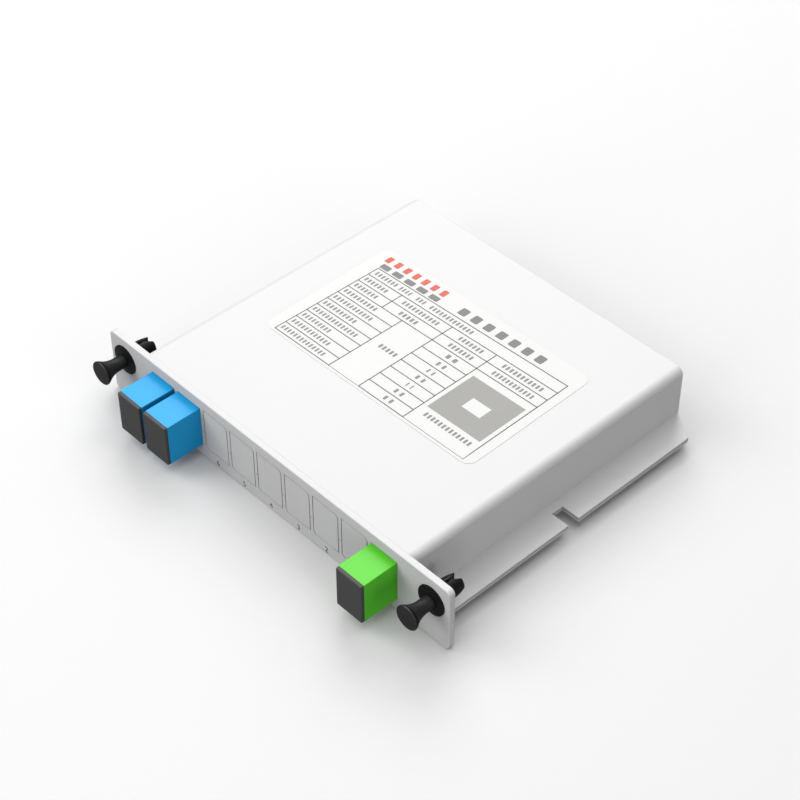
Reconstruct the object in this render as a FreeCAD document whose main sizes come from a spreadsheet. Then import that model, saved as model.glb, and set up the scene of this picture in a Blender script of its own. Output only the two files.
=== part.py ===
import FreeCAD, Part
import math
import os
import Sketcher

# Plug-in fibre splitter cassette, in millimetres.
# X runs along the front panel, +Y to the rear and +Z up. The origin is the middle of the
# case's underside, half way between the back of the front panel and the rear wall.
# A two-part plastic case with side wings carries the front panel, three fibre adapters, their
# inner connectors, the splitter module and its buffered fibres.
# Two push-pull fasteners at the ends of the panel hold the cassette in its chassis.

Vector = FreeCAD.Vector

# Driving sizes
SIZES = [
    ("case_height", 20.5, "height of the front panel and of the closed case"),
    ("panel_thick", 1.8, "thickness of the front panel"),
    ("panel_ear", 13.9, "how far the panel reaches past the case on each side"),
    ("panel_corner", 1.5, "radius of the panel's corners"),
    ("panel_edge", 0.3, "rounding round the panel's front face"),
    ("box_width", 102.2, "width of the case without its wings"),
    ("box_depth", 97.4, "depth of the case behind the panel"),
    ("side_wall", 2.0, "thickness of the case's side and rear walls"),
    ("roof_thick", 1.9, "thickness of the cover's top"),
    ("floor_thick", 2.0, "thickness of the tray's floor"),
    ("roof_round", 2.2, "radius of the cover's long upper edges"),
    ("seam_height", 3.95, "height of the joint between tray and cover"),
    ("wing_thick", 0.75, "thickness of each of the two stacked wing plates"),
    ("wing_reach", 8.1, "how far the wings stand out from the case"),
    ("wing_taper", 5.0, "length of the slanted rear end of a wing"),
    ("wing_corner", 1.4, "radius where the slanted end meets the wing's side"),
    ("notch_width", 3.9, "width of the locating notch in each wing"),
    ("notch_depth", 5.7, "depth of the locating notch"),
    ("notch_shift", -0.8, "place of the notch from the middle of the case"),
    ("lip_thick", 1.0, "thickness of the tray's locating lip"),
    ("lip_rise", 1.2, "height of the lip above the joint"),
    ("lip_gap", 0.1, "clearance between the lip and the cover"),
    ("port_pitch", 10.62, "spacing of the port positions"),
    ("port_rise", 0.35, "how far the port centres lie above the panel's middle"),
    ("port_wide", 9.3, "width of a port opening or blank"),
    ("port_tall", 13.2, "height of a port opening or blank"),
    ("port_key", 0.8, "cut corners of a blank"),
    ("score_wide", 0.24, "width of the scored line round a blank"),
    ("score_depth", 0.3, "depth of the scored lines"),
    ("tick_drop", 1.5, "how far the small cross scores lie below the port centres"),
    ("adapter_wide", 9.1, "width of an adapter"),
    ("adapter_tall", 12.9, "height of an adapter"),
    ("adapter_length", 27.4, "length of an adapter"),
    ("adapter_front", 10.65, "how far an adapter stands out from the panel"),
    ("adapter_edge", 0.15, "rounding of the adapter's long edges"),
    ("bore_wide", 7.6, "width of the adapter's socket"),
    ("bore_tall", 9.2, "height of the adapter's socket"),
    ("key_wide", 2.2, "width of the keyway in the socket"),
    ("key_depth", 0.9, "depth of the keyway"),
    ("ear_rise", 1.2, "height of the ears above and below the adapter"),
    ("ear_thick", 1.2, "thickness of the ears behind the panel"),
    ("cradle_thick", 1.5, "thickness of the walls that trap the ears"),
    ("slot_gap", 0.1, "clearance round the adapters in the case"),
    ("tongue_wide", 12.0, "width of a tongue on the panel's lower edge"),
    ("tongue_long", 8.0, "length of a tongue"),
    ("tongue_thick", 0.8, "thickness of a tongue"),
    ("tongue_space", 32.0, "spacing of the tongues"),
    ("pip_radius", 1.2, "radius of the pip that holds a tongue"),
    ("holder_plate", 1.2, "thickness of a latch holder's plate"),
    ("holder_tube", 5.5, "length of a latch holder's tube"),
    ("holder_radius", 2.2, "outer radius of a latch holder's tube"),
    ("arm_long", 7.0, "length of a latch arm in front of its plate"),
    ("arm_wide", 4.0, "width of a latch arm"),
    ("arm_thick", 1.0, "thickness of a latch arm"),
    ("barb_rise", 0.5, "height of the barb on a latch arm"),
    ("barb_long", 1.2, "length of the barb"),
    ("sleeve_radius", 1.6, "outer radius of the ceramic sleeve"),
    ("sleeve_long", 11.4, "length of the ceramic sleeve"),
    ("sleeve_slit", 0.3, "width of the slit in the sleeve"),
    ("ferrule_radius", 1.25, "radius of the ferrule"),
    ("ferrule_long", 10.5, "length of the ferrule"),
    ("ferrule_bevel", 0.3, "bevel of the ferrule's tip"),
    ("fit_gap", 0.05, "clearance of parts that fit into each other"),
    ("cap_wide", 8.95, "width of a dust cap's plate"),
    ("cap_tall", 12.85, "height of a dust cap's plate"),
    ("cap_plate", 1.0, "thickness of a dust cap's plate"),
    ("cap_stem", 5.0, "length of a dust cap's stem"),
    ("cap_wall", 0.8, "wall of a dust cap's stem"),
    ("cap_fit", 0.08, "clearance of a dust cap's stem in its socket"),
    ("cap_edge", 0.3, "rounding of a dust cap's plate"),
    ("grip_start", 8.6, "where a connector's grip starts behind the adapter's middle"),
    ("grip_long", 17.0, "length of a connector's grip"),
    ("grip_wide", 7.4, "width of a connector's grip"),
    ("grip_tall", 9.0, "height of a connector's grip"),
    ("rib_wide", 2.0, "width of the key on a grip"),
    ("rib_rise", 0.7, "height of the key on a grip"),
    ("rib_long", 6.0, "length of the key on a grip"),
    ("groove_pitch", 1.4, "spacing of the finger grooves on a grip"),
    ("groove_deep", 0.3, "depth of the finger grooves"),
    ("plug_start", 2.6, "where a plug body starts behind the adapter's middle"),
    ("plug_wide", 6.0, "width of a plug body"),
    ("plug_tall", 6.6, "height of a plug body"),
    ("plug_gap", 0.1, "clearance of a plug body in its grip"),
    ("plug_recess", 1.0, "how far a plug body ends inside its grip"),
    ("passage_long", 4.0, "length of the fibre passage in a plug body"),
    ("boot_long", 12.0, "length of a connector's boot"),
    ("boot_root", 2.8, "radius of a boot's root"),
    ("boot_tip", 1.1, "radius of a boot's tip"),
    ("fastener_out", 7.9, "distance of a fastener from the case's side"),
    ("fastener_z", 13.6, "height of a fastener"),
    ("barrel_radius", 2.85, "radius of a fastener's barrel behind the panel"),
    ("throat_radius", 2.6, "radius of the barrel's throat inside the panel"),
    ("throat_gap", 0.05, "clearance of the throat in the panel"),
    ("snap_gap", 0.1, "distance of the barrel's shoulder behind the panel"),
    ("collar_radius", 4.4, "radius of a fastener's collar"),
    ("collar_thick", 0.7, "thickness of the collar in its middle"),
    ("collar_rim", 0.3, "thickness of the collar at its rim"),
    ("collar_flat", 2.5, "radius of the collar's flat middle"),
    ("barrel_long", 3.2, "where the straight barrel ends behind the panel"),
    ("nose_long", 3.7, "length of the barrel's blunt split nose"),
    ("nose_tip", 2.3, "radius of the nose at its end"),
    ("leg_slot", 0.7, "width of the slot between the legs"),
    ("leg_root", 0.7, "where the slot starts behind the panel"),
    ("leg_fork", 2.4, "gap between the tips of the legs"),
    ("pin_radius", 1.5, "radius of the plunger's pin"),
    ("pin_reach", 4.4, "reach of the pin behind the panel"),
    ("knob_long", 7.5, "length of the plunger's knob"),
    ("knob_neck", 1.9, "radius of the knob at its neck"),
    ("neck_long", 2.2, "length of the knob's straight neck"),
    ("knob_flare", 3.3, "radius of the knob at the end of its flare"),
    ("knob_end", 3.5, "radius of the knob's rim"),
    ("knob_rim", 0.45, "thickness of the knob's rim"),
    ("rim_edge", 0.15, "bevel of the rim"),
    ("rim_groove", 0.45, "width of the groove behind the rim"),
    ("rim_sink", 0.8, "depth of the groove behind the rim"),
    ("knob_gap", 0.12, "gap between the knob and the collar"),
    ("boss_radius", 2.5, "radius of a screw boss"),
    ("boss_inset", 2.8, "distance of a screw boss from the walls' inside"),
    ("boss_front", 43.2, "distance of the front bosses behind the panel"),
    ("screw_radius", 1.1, "radius of a case screw"),
    ("screw_long", 10.0, "length of a case screw under its head"),
    ("head_radius", 2.1, "radius of a case screw's head"),
    ("head_thick", 1.3, "thickness of a case screw's head"),
    ("head_sink", 0.3, "how deep the screw heads lie below the underside"),
    ("head_gap", 0.2, "clearance round a screw head"),
    ("screw_slot", 0.6, "width of the slot in a screw's head"),
    ("fibre_radius", 0.45, "radius of a buffered fibre"),
    ("fibre_tuck", 3.0, "how far a fibre reaches into a connector's boot"),
    ("module_long", 40.0, "length of the splitter module"),
    ("module_side", 4.0, "width and height of the splitter module"),
    ("module_edge", 0.3, "rounding of the module's long edges"),
    ("module_lift", 0.8, "height of the module above the tray's floor"),
    ("module_back", 34.2, "distance of the module behind the panel"),
    ("module_boot", 6.0, "length of the module's end boots"),
    ("pair_space", 1.2, "spacing of the two fibres that leave the module together"),
    ("saddle_space", 28.0, "spacing of the module's saddles"),
    ("saddle_thick", 2.4, "thickness of a saddle"),
    ("saddle_wall", 1.6, "wall of a saddle beside the module"),
    ("lane_rear", 7.2, "distance of the rearmost fibre from the back of the case"),
    ("lane_side", 6.3, "distance of the outermost fibre from the case's left side"),
    ("lane_step", 1.6, "spacing of the fibres where they run side by side"),
    ("bend_gap", 0.8, "straight stretch of fibre between the module's boot and the first bend"),
    ("ramp_bend", 25.0, "bend radius where a fibre rises to its connector"),
    ("ramp_long", 11.0, "length over which a fibre rises to its connector"),
    ("ramp_lead", 7.4, "distance between a connector's boot and the rising stretch"),
    ("guide_thick", 1.2, "thickness of the curved fibre guides"),
    ("guide_rise", 3.6, "height of the fibre guides above the floor"),
    ("guide_gap", 0.35, "clearance between a guide and the nearest fibre"),
    ("label_long", 76.6, "length of the label"),
    ("label_wide", 46.2, "width of the label"),
    ("label_thick", 0.1, "thickness of the label"),
    ("label_corner", 3.0, "radius of the label's corners"),
    ("label_x", -0.4, "sideways place of the label"),
    ("label_y", 4.7, "place of the label along the depth"),
]
size = {name: value for name, value, note in SIZES}

# As many port positions as the tray has room for, counted in steps from the panel's middle.
# The input has the last position and the outputs have the first two; the rest are blanks.
ROOM = size["box_width"] - 2 * (size["side_wall"] + size["lip_gap"] + size["lip_thick"])
PORT_COUNT = int(ROOM / size["port_pitch"])
LAST_PORT = (PORT_COUNT - 1) / 2
ADAPTERS = {"in": LAST_PORT, "out_7": 1 - LAST_PORT, "out_8": -LAST_PORT}
FIRST_BLANK = 2 - LAST_PORT
BLANK_COUNT = PORT_COUNT - len(ADAPTERS)

# The finger grooves on each side of a grip, the label's turn in degrees, and the share by
# which a fibre's volume may differ from that of a straight rod as long as its path
GROOVE_COUNT = 5
LABEL_TURN = 1.0
VOLUME_SLACK = 0.02

# Places that several pieces share
PANEL_BACK = "box_depth / -2"
PANEL_END = "( box_width / 2 + panel_ear )"
FASTENER_X = "( box_width / 2 + fastener_out )"
MODULE_Y = "( module_back - box_depth / 2 )"
MODULE_Z = "( floor_thick + module_lift + module_side / 2 )"
PORT_Z = "( case_height / 2 + port_rise )"
ADAPTER_MIDDLE = "( adapter_length / 2 - panel_thick - adapter_front )"

doc = FreeCAD.newDocument("splitter_cassette")
sheet = doc.addObject("Spreadsheet::Sheet", "sizes")
for row, (name, value, note) in enumerate(SIZES, start=1):
    sheet.set(f"A{row}", name)
    sheet.set(f"B{row}", str(value))
    sheet.set(f"C{row}", note)
    sheet.setAlias(f"B{row}", name)
doc.recompute()

pieces = []


# Helpers for sketches and features

def bind(item, prop, expression):
    """Tie one property to an expression of sizes."""
    item.setExpression(prop, cells(expression))


def cells(expression):
    """Write each size name of an expression as a cell of the sheet."""
    words = []
    for word in expression.replace("(", " ( ").replace(")", " ) ").split():
        words.append("sizes." + word if word in size else word)
    return " ".join(words)


def new_body(label):
    body = doc.addObject("PartDesign::Body", label)
    body.Label = label
    pieces.append(body)
    return body


def place(item, x="0", y="0", z="0"):
    for axis, expression in (("x", x), ("y", y), ("z", z)):
        if expression != "0":
            bind(item, "Placement.Base." + axis, expression)


def new_sketch(body, name, plane, height="0"):
    sketch = body.newObject("Sketcher::SketchObject", name)
    support = next(item for item in body.Origin.OriginFeatures if item.Role == plane)
    sketch.AttachmentSupport = (support, [""])
    sketch.MapMode = "FlatFace"
    if height != "0":
        bind(sketch, "AttachmentOffset.Base.z", height)
    return sketch


def fix_point(sketch, item, end, x, y):
    """Hold one point of a sketch at two distances from the origin."""
    for kind, expression in (("DistanceX", x), ("DistanceY", y)):
        index = sketch.addConstraint(Sketcher.Constraint(kind, -1, 1, item, end, 0.0))
        if expression != "0":
            sketch.setExpression(f"Constraints[{index}]", cells(expression))


def add_loop(sketch, corners, curve=None):
    """Closed outline through the given corners.

    All its sides are straight, apart from the side numbered by curve. That one is an arc
    that meets the side after it smoothly.
    """
    count = len(corners)
    ring = [Vector(math.cos(2 * math.pi * k / count), math.sin(2 * math.pi * k / count), 0)
            for k in range(count)]
    sides = {}
    for k in range(count):
        if k != curve:
            line = Part.LineSegment(ring[k], ring[(k + 1) % count])
            sides[k] = sketch.addGeometry(line, False)
    for k, item in sides.items():
        following = (k + 1) % count
        if following in sides:
            sketch.addConstraint(Sketcher.Constraint("Coincident", item, 2, sides[following], 1))
        fix_point(sketch, item, 1, *corners[k])
    if curve is not None:
        before, after = sides[curve - 1], sides[curve + 1]
        fix_point(sketch, before, 2, *corners[curve])
        add_arc(sketch, before, after)


def add_arc(sketch, before, after):
    """Join the end of one line to the start of another with an arc tangent to the second."""
    doc.recompute()
    start = sketch.Geometry[before].EndPoint
    end = sketch.Geometry[after].StartPoint
    ahead = (sketch.Geometry[after].EndPoint - end).normalize()
    side = Vector(-ahead.y, ahead.x, 0)
    chord = start - end
    centre = end + side * (chord.Length ** 2 / (2 * chord.dot(side)))
    radius = (end - centre).Length
    angles = [math.atan2(point.y - centre.y, point.x - centre.x) for point in (start, end)]
    sweep = (angles[1] - angles[0]) % (2 * math.pi)
    first, last = (1, 2) if sweep < math.pi else (2, 1)
    if first == 2:
        angles.reverse()
    circle = Part.Circle(centre, Vector(0, 0, 1), radius)
    arc = sketch.addGeometry(Part.ArcOfCircle(circle, angles[0], angles[1]), False)
    sketch.addConstraint(Sketcher.Constraint("Coincident", arc, first, before, 2))
    sketch.addConstraint(Sketcher.Constraint("Tangent", arc, last, after, 1))


def add_circle(sketch, x, y, radius):
    item = sketch.addGeometry(Part.Circle(Vector(0, 0, 0), Vector(0, 0, 1), 1.0), False)
    index = sketch.addConstraint(Sketcher.Constraint("Radius", item, 1.0))
    sketch.setExpression(f"Constraints[{index}]", cells(radius))
    fix_point(sketch, item, 3, x, y)


def box_loop(x0, x1, y0, y1):
    return [(x0, y0), (x1, y0), (x1, y1), (x0, y1)]


def centred_loop(width, depth, x="0", y="0"):
    """Rectangle about a centre, from its full width and depth."""
    return box_loop(f"{x} - ( {width} ) / 2", f"{x} + ( {width} ) / 2",
                    f"{y} - ( {depth} ) / 2", f"{y} + ( {depth} ) / 2")


def loops_sketch(body, name, plane, loops, height="0"):
    sketch = new_sketch(body, name, plane, height)
    for corners in loops:
        add_loop(sketch, corners)
    return sketch


def circles_sketch(body, name, plane, circles, height="0"):
    sketch = new_sketch(body, name, plane, height)
    for x, y, radius in circles:
        add_circle(sketch, x, y, radius)
    return sketch


def pad(body, name, sketch, length, backward=False, both=False):
    feature = body.newObject("PartDesign::Pad", name)
    feature.Profile = sketch
    feature.Reversed = backward
    if both:
        feature.SideType = "Symmetric"
    bind(feature, "Length", length)
    doc.recompute()
    return feature


def pocket(body, name, sketch, depth="0", backward=False):
    """Cut a depth on one side of the sketch, or all the way both ways."""
    before = body.Shape.Volume
    feature = body.newObject("PartDesign::Pocket", name)
    feature.Profile = sketch
    feature.Reversed = backward
    if depth == "0":
        feature.SideType = "Symmetric"
        feature.Type = "ThroughAll"
    else:
        bind(feature, "Length", depth)
    doc.recompute()
    if body.Shape.Volume >= before:
        raise ValueError(name + " cuts nothing")
    return feature


def revolve(body, name, sketch, axis):
    feature = body.newObject("PartDesign::Revolution", name)
    feature.Profile = sketch
    line = next(item for item in body.Origin.OriginFeatures if item.Role == axis)
    feature.ReferenceAxis = (line, [""])
    feature.Angle = 360.0
    doc.recompute()
    return feature


def repeat(body, name, feature, axis, spacing, count):
    pattern = body.newObject("PartDesign::LinearPattern", name)
    pattern.Originals = [feature]
    line = next(item for item in body.Origin.OriginFeatures if item.Role == axis)
    pattern.Direction = (line, [""])
    bind(pattern, "Length", f"{spacing} * {count - 1}")
    pattern.Occurrences = count
    body.Tip = pattern
    doc.recompute()
    return pattern


def round_edges(body, name, base, radius, wanted):
    """Round those edges of a feature for which wanted() is true of their middle."""
    names = []
    for k, edge in enumerate(base.Shape.Edges, start=1):
        middle = edge.BoundBox.Center
        if wanted(edge, middle):
            names.append(f"Edge{k}")
    feature = body.newObject("PartDesign::Fillet", name)
    feature.Base = (base, names)
    bind(feature, "Radius", radius)
    doc.recompute()
    return feature


def near(a, b, slack=0.01):
    return abs(a - b) < slack


def along(edge, axis):
    """True for a straight edge parallel to one axis."""
    box = edge.BoundBox
    spans = {"X": box.XLength, "Y": box.YLength, "Z": box.ZLength}
    others = [spans[key] for key in spans if key != axis]
    return spans[axis] > 0.01 and max(others) < 0.001


# Front panel with three openings, six scored blanks and three tongues

def port_x(position):
    return f"{position} * port_pitch"


def keyed_loop(x, grow):
    """Outline of a blank with two cut corners, grown by half a score width."""
    half_wide = f"( port_wide / 2 + {grow} )"
    half_tall = f"( port_tall / 2 + {grow} )"
    left, right = f"{x} - {half_wide}", f"{x} + {half_wide}"
    low, high = f"{PORT_Z} - {half_tall}", f"{PORT_Z} + {half_tall}"
    return [(f"{left} + port_key", low), (right, low), (right, f"{high} - port_key"),
            (f"{right} - port_key", high), (left, high), (left, f"{low} + port_key")]


def make_front_panel():
    body = new_body("front_panel")
    outline = box_loop(f"-1 * {PANEL_END}", PANEL_END, "0", "case_height")
    plate = pad(body, "panel_plate", loops_sketch(body, "panel_outline", "XZ_Plane", [outline]),
                "panel_thick")
    corners = round_edges(body, "panel_corners", plate, "panel_corner",
                          lambda edge, middle: along(edge, "Y"))
    front = -size["panel_thick"]
    round_edges(body, "panel_front_edge", corners, "panel_edge",
                lambda edge, middle: near(edge.BoundBox.YMin, front)
                and near(edge.BoundBox.YMax, front))
    openings = [centred_loop("port_wide", "port_tall", port_x(position), PORT_Z)
                for position in ADAPTERS.values()]
    pocket(body, "panel_openings", loops_sketch(body, "opening_outline", "XZ_Plane", openings))
    holes = [(f"{side} * {FASTENER_X}", "fastener_z", "throat_radius + throat_gap")
             for side in (-1, 1)]
    pocket(body, "panel_holes", circles_sketch(body, "hole_outline", "XZ_Plane", holes))
    tongue_low = "floor_thick - tongue_thick"
    tongues = []
    for step in (-1, 0, 1):
        middle = f"{step} * tongue_space"
        tongues.append(box_loop(f"{middle} - tongue_wide / 2", f"{middle} + tongue_wide / 2",
                                tongue_low, "floor_thick"))
    pad(body, "panel_tongues", loops_sketch(body, "tongue_outline", "XZ_Plane", tongues),
        "tongue_long", backward=True)
    eyes = [(f"{step} * tongue_space", "tongue_long / 2", "pip_radius + fit_gap")
            for step in (-1, 0, 1)]
    pocket(body, "tongue_eyes", circles_sketch(body, "eye_outline", "XY_Plane", eyes))
    first = port_x(FIRST_BLANK)
    score = loops_sketch(body, "score_outline", "XZ_Plane",
                         [keyed_loop(first, "score_wide / 2"), keyed_loop(first, "score_wide / -2")],
                         "panel_thick")
    line = pocket(body, "score_line", score, "score_depth")
    repeat(body, "score_lines", line, "X_Axis", "port_pitch", BLANK_COUNT)
    web = "port_pitch - port_wide - score_wide"
    tick = loops_sketch(body, "tick_outline", "XZ_Plane",
                        [centred_loop(web, "score_wide", f"{FIRST_BLANK - 0.5} * port_pitch",
                                      f"{PORT_Z} - tick_drop")], "panel_thick")
    mark = pocket(body, "tick_line", tick, "score_depth")
    repeat(body, "tick_lines", mark, "X_Axis", "port_pitch", BLANK_COUNT)
    place(body, y=PANEL_BACK)


# Case halves

def cut_wings(body):
    """Slanted rear ends and locating notches in both wings."""
    tapers = []
    notches = []
    for side in ("-1 *", "1 *"):
        wall = f"{side} box_width / 2"
        tip = f"{side} ( box_width / 2 + wing_reach )"
        tapers.append([(wall, "box_depth / 2"), (tip, "box_depth / 2"),
                       (tip, "box_depth / 2 - wing_taper")])
        inner = f"{side} ( box_width / 2 + wing_reach - notch_depth )"
        notches.append(box_loop(inner, tip, "notch_shift - notch_width / 2",
                                "notch_shift + notch_width / 2"))
    pocket(body, "wing_tapers", loops_sketch(body, "taper_outline", "XY_Plane", tapers))
    cut = pocket(body, "wing_notches", loops_sketch(body, "notch_outline", "XY_Plane", notches))
    tip_x = size["box_width"] / 2 + size["wing_reach"]
    tip_y = size["box_depth"] / 2 - size["wing_taper"]
    round_edges(body, "wing_corners", cut, "wing_corner",
                lambda edge, middle: along(edge, "Z") and near(abs(middle.x), tip_x)
                and near(middle.y, tip_y))


def boss_places():
    """Centres of the four screw bosses, rear pair first."""
    x = "( box_width / 2 - side_wall - boss_inset )"
    rear = "box_depth / 2 - side_wall - boss_inset"
    front = "boss_front - box_depth / 2"
    return [(f"{side} * {x}", y) for y in (rear, front) for side in (-1, 1)]


def circles_at(places, radius):
    return [(x, y, radius) for x, y in places]


def make_top_cover():
    body = new_body("top_cover")
    wing_top = "seam_height + wing_thick"
    half, tip = "box_width / 2", "box_width / 2 + wing_reach"
    inside = "box_width / 2 - side_wall"
    right = [(tip, "seam_height"), (tip, wing_top), (half, wing_top), (half, "case_height")]
    under = [(inside, "seam_height"), (inside, "case_height - roof_thick")]
    mirrored = [(f"-1 * ( {x} )", z) for x, z in right]
    mirrored_under = [(f"-1 * ( {x} )", z) for x, z in under]
    section = right + mirrored[::-1] + mirrored_under + under[::-1]
    pad(body, "cover_shell", loops_sketch(body, "cover_section", "XZ_Plane", [section]),
        "box_depth", both=True)
    rear = loops_sketch(body, "rear_outline", "XZ_Plane",
                        [box_loop("box_width / -2", half, "seam_height", "case_height")],
                        "box_depth / -2")
    closed = pad(body, "rear_wall", rear, "side_wall")
    edge_x, edge_z = size["box_width"] / 2, size["case_height"]
    round_edges(body, "roof_rounding", closed, "roof_round",
                lambda edge, middle: along(edge, "Y") and near(abs(middle.x), edge_x)
                and near(middle.z, edge_z))
    cut_wings(body)
    rib_low = f"{PORT_Z} + adapter_tall / 2 + slot_gap"
    rib_front = "ear_thick + 2 * slot_gap - box_depth / 2"
    rib = loops_sketch(body, "rib_outline", "XY_Plane",
                       [box_loop(f"-1 * ( {inside} )", inside, rib_front,
                                 f"{rib_front} + cradle_thick")], rib_low)
    pad(body, "ear_rib", rib, f"case_height - roof_thick - ( {rib_low} )")
    joint = "seam_height + lip_rise"
    bosses = circles_sketch(body, "boss_outline", "XY_Plane",
                            circles_at(boss_places(), "boss_radius"), joint)
    pad(body, "cover_bosses", bosses, f"case_height - roof_thick - ( {joint} )")
    pilots = circles_sketch(body, "pilot_outline", "XY_Plane",
                            circles_at(boss_places(), "screw_radius"), joint)
    pocket(body, "pilot_holes", pilots,
           "head_sink + head_thick + screw_long + screw_radius - seam_height - lip_rise",
           backward=True)


def ring_sector(body, name, centre_x, centre_y, outer, start):
    """Curved fibre guide: a quarter of a ring that stands on the tray's floor.

    The sketch lies at the ring's centre, and start is the angle of the quarter's first end.
    """
    sketch = new_sketch(body, name + "_outline", "XY_Plane", "floor_thick")
    bind(sketch, "AttachmentOffset.Base.x", centre_x)
    bind(sketch, "AttachmentOffset.Base.y", centre_y)
    turns = [math.radians(start), math.radians(start + 90)]
    for radius in (2.0, 1.0):
        circle = Part.Circle(Vector(0, 0, 0), Vector(0, 0, 1), radius)
        arc = sketch.addGeometry(Part.ArcOfCircle(circle, turns[0], turns[1]), False)
        sketch.addConstraint(Sketcher.Constraint("Coincident", arc, 3, -1, 1))
    for end, turn in enumerate(turns, start=1):
        ray = Vector(math.cos(turn), math.sin(turn), 0)
        line = sketch.addGeometry(Part.LineSegment(ray * 1.0, ray * 2.0), False)
        sketch.addConstraint(Sketcher.Constraint("Coincident", line, 2, 0, end))
        sketch.addConstraint(Sketcher.Constraint("Coincident", line, 1, 1, end))
        direction = "Vertical" if abs(ray.y) > abs(ray.x) else "Horizontal"
        sketch.addConstraint(Sketcher.Constraint(direction, line))
    for arc, radius in ((0, outer), (1, f"{outer} - guide_thick")):
        index = sketch.addConstraint(Sketcher.Constraint("Radius", arc, 2.0 - arc))
        sketch.setExpression(f"Constraints[{index}]", cells(radius))
    return pad(body, name, sketch, "guide_rise")


def make_base_tray():
    body = new_body("base_tray")
    half, tip = "box_width / 2", "box_width / 2 + wing_reach"
    lip_outer = "side_wall + lip_gap"
    lip_inner = "side_wall + lip_gap + lip_thick"
    floor = centred_loop("box_width", "box_depth")
    pad(body, "tray_floor", loops_sketch(body, "floor_outline", "XY_Plane", [floor]), "floor_thick")

    def wall_loop(outer, inner):
        """U-shaped outline of the side and rear walls, open at the front."""
        out_x, in_x = f"( box_width / 2 - ( {outer} ) )", f"( box_width / 2 - ( {inner} ) )"
        out_y, in_y = f"box_depth / 2 - ( {outer} )", f"box_depth / 2 - ( {inner} )"
        return [(f"-1 * {out_x}", PANEL_BACK), (f"-1 * {in_x}", PANEL_BACK),
                (f"-1 * {in_x}", in_y), (in_x, in_y), (in_x, PANEL_BACK),
                (out_x, PANEL_BACK), (out_x, out_y), (f"-1 * {out_x}", out_y)]

    pad(body, "tray_walls", loops_sketch(body, "wall_outline", "XY_Plane",
                                         [wall_loop("0", lip_inner)]), "seam_height")
    pad(body, "tray_lip", loops_sketch(body, "lip_outline", "XY_Plane",
                                       [wall_loop(lip_outer, lip_inner)]),
        "seam_height + lip_rise")
    wings = [box_loop(half, tip, PANEL_BACK, "box_depth / 2"),
             box_loop(f"-1 * ( {tip} )", "box_width / -2", PANEL_BACK, "box_depth / 2")]
    pad(body, "tray_wings", loops_sketch(body, "wing_outline", "XY_Plane", wings,
                                         "seam_height - wing_thick"), "wing_thick")
    cut_wings(body)
    recesses = []
    for step in (-1, 0, 1):
        middle = f"{step} * tongue_space"
        reach = "tongue_wide / 2 + slot_gap"
        recesses.append(box_loop(f"{middle} - ( {reach} )", f"{middle} + {reach}", PANEL_BACK,
                                 "tongue_long + slot_gap - box_depth / 2"))
    pocket(body, "tongue_recesses", loops_sketch(body, "recess_outline", "XY_Plane", recesses,
                                                 "floor_thick"), "tongue_thick + fit_gap")
    pips = [(f"{step} * tongue_space", "tongue_long / 2 - box_depth / 2", "pip_radius")
            for step in (-1, 0, 1)]
    pad(body, "tongue_pips", circles_sketch(body, "pip_outline", "XY_Plane", pips), "floor_thick")
    cradle_front = "ear_thick + 2 * slot_gap - box_depth / 2"
    inner = "box_width / 2 - side_wall - lip_gap - lip_thick"
    cradle = loops_sketch(body, "cradle_outline", "XY_Plane",
                          [box_loop(f"-1 * ( {inner} )", inner, cradle_front,
                                    f"{cradle_front} + cradle_thick")], "floor_thick")
    pad(body, "adapter_cradle", cradle, f"{PORT_Z} - floor_thick")
    slot_low = f"{PORT_Z} - adapter_tall / 2 - slot_gap"
    slot_reach = "adapter_wide / 2 + slot_gap"
    first = port_x(-LAST_PORT)
    slot = loops_sketch(body, "slot_outline", "XZ_Plane",
                        [box_loop(f"{first} - ( {slot_reach} )", f"{first} + {slot_reach}",
                                  slot_low, "case_height")])
    notch = pocket(body, "cradle_slot", slot)
    repeat(body, "cradle_slots", notch, "X_Axis", "port_pitch", PORT_COUNT)
    add_module_saddles(body)
    add_fibre_guides(body)
    bosses = circles_sketch(body, "boss_outline", "XY_Plane",
                            circles_at(boss_places(), "boss_radius"))
    pad(body, "tray_bosses", bosses, "seam_height + lip_rise")
    heads = circles_sketch(body, "head_outline", "XY_Plane",
                           circles_at(boss_places(), "head_radius + head_gap"))
    pocket(body, "head_recesses", heads, "head_sink + head_thick", backward=True)
    passages = circles_sketch(body, "passage_outline", "XY_Plane",
                              circles_at(boss_places(), "screw_radius + fit_gap"))
    pocket(body, "screw_passages", passages)


def add_module_saddles(body):
    """Two U-shaped saddles that hold the module off the floor."""
    outer = "module_side + 2 * fit_gap + 2 * saddle_wall"
    blocks = [centred_loop("saddle_thick", outer, f"{step} * saddle_space", MODULE_Y)
              for step in (-0.5, 0.5)]
    pad(body, "saddle_blocks", loops_sketch(body, "saddle_outline", "XY_Plane", blocks),
        "floor_thick + module_lift + module_side")
    clear = "module_side + 2 * fit_gap"
    slots = [centred_loop("saddle_thick + 2 * fit_gap", clear, f"{step} * saddle_space", MODULE_Y)
             for step in (-0.5, 0.5)]
    pocket(body, "saddle_slots", loops_sketch(body, "saddle_slot_outline", "XY_Plane", slots,
                                              "floor_thick + module_lift + module_side"),
           "module_side")


# Fibre lanes round the tray, with bends as large as the room beside the module allows

LANE_BEND = "( box_width / 2 - lane_side - module_long / 2 - module_boot - bend_gap )"
LANE_LEFT = "( lane_side - box_width / 2 )"
LANE_REAR = "( box_depth / 2 - lane_rear )"
INNER_BEND = f"( {LANE_BEND} - 2 * lane_step )"
GUIDE_CLEAR = "( fibre_radius + guide_gap )"


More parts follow.
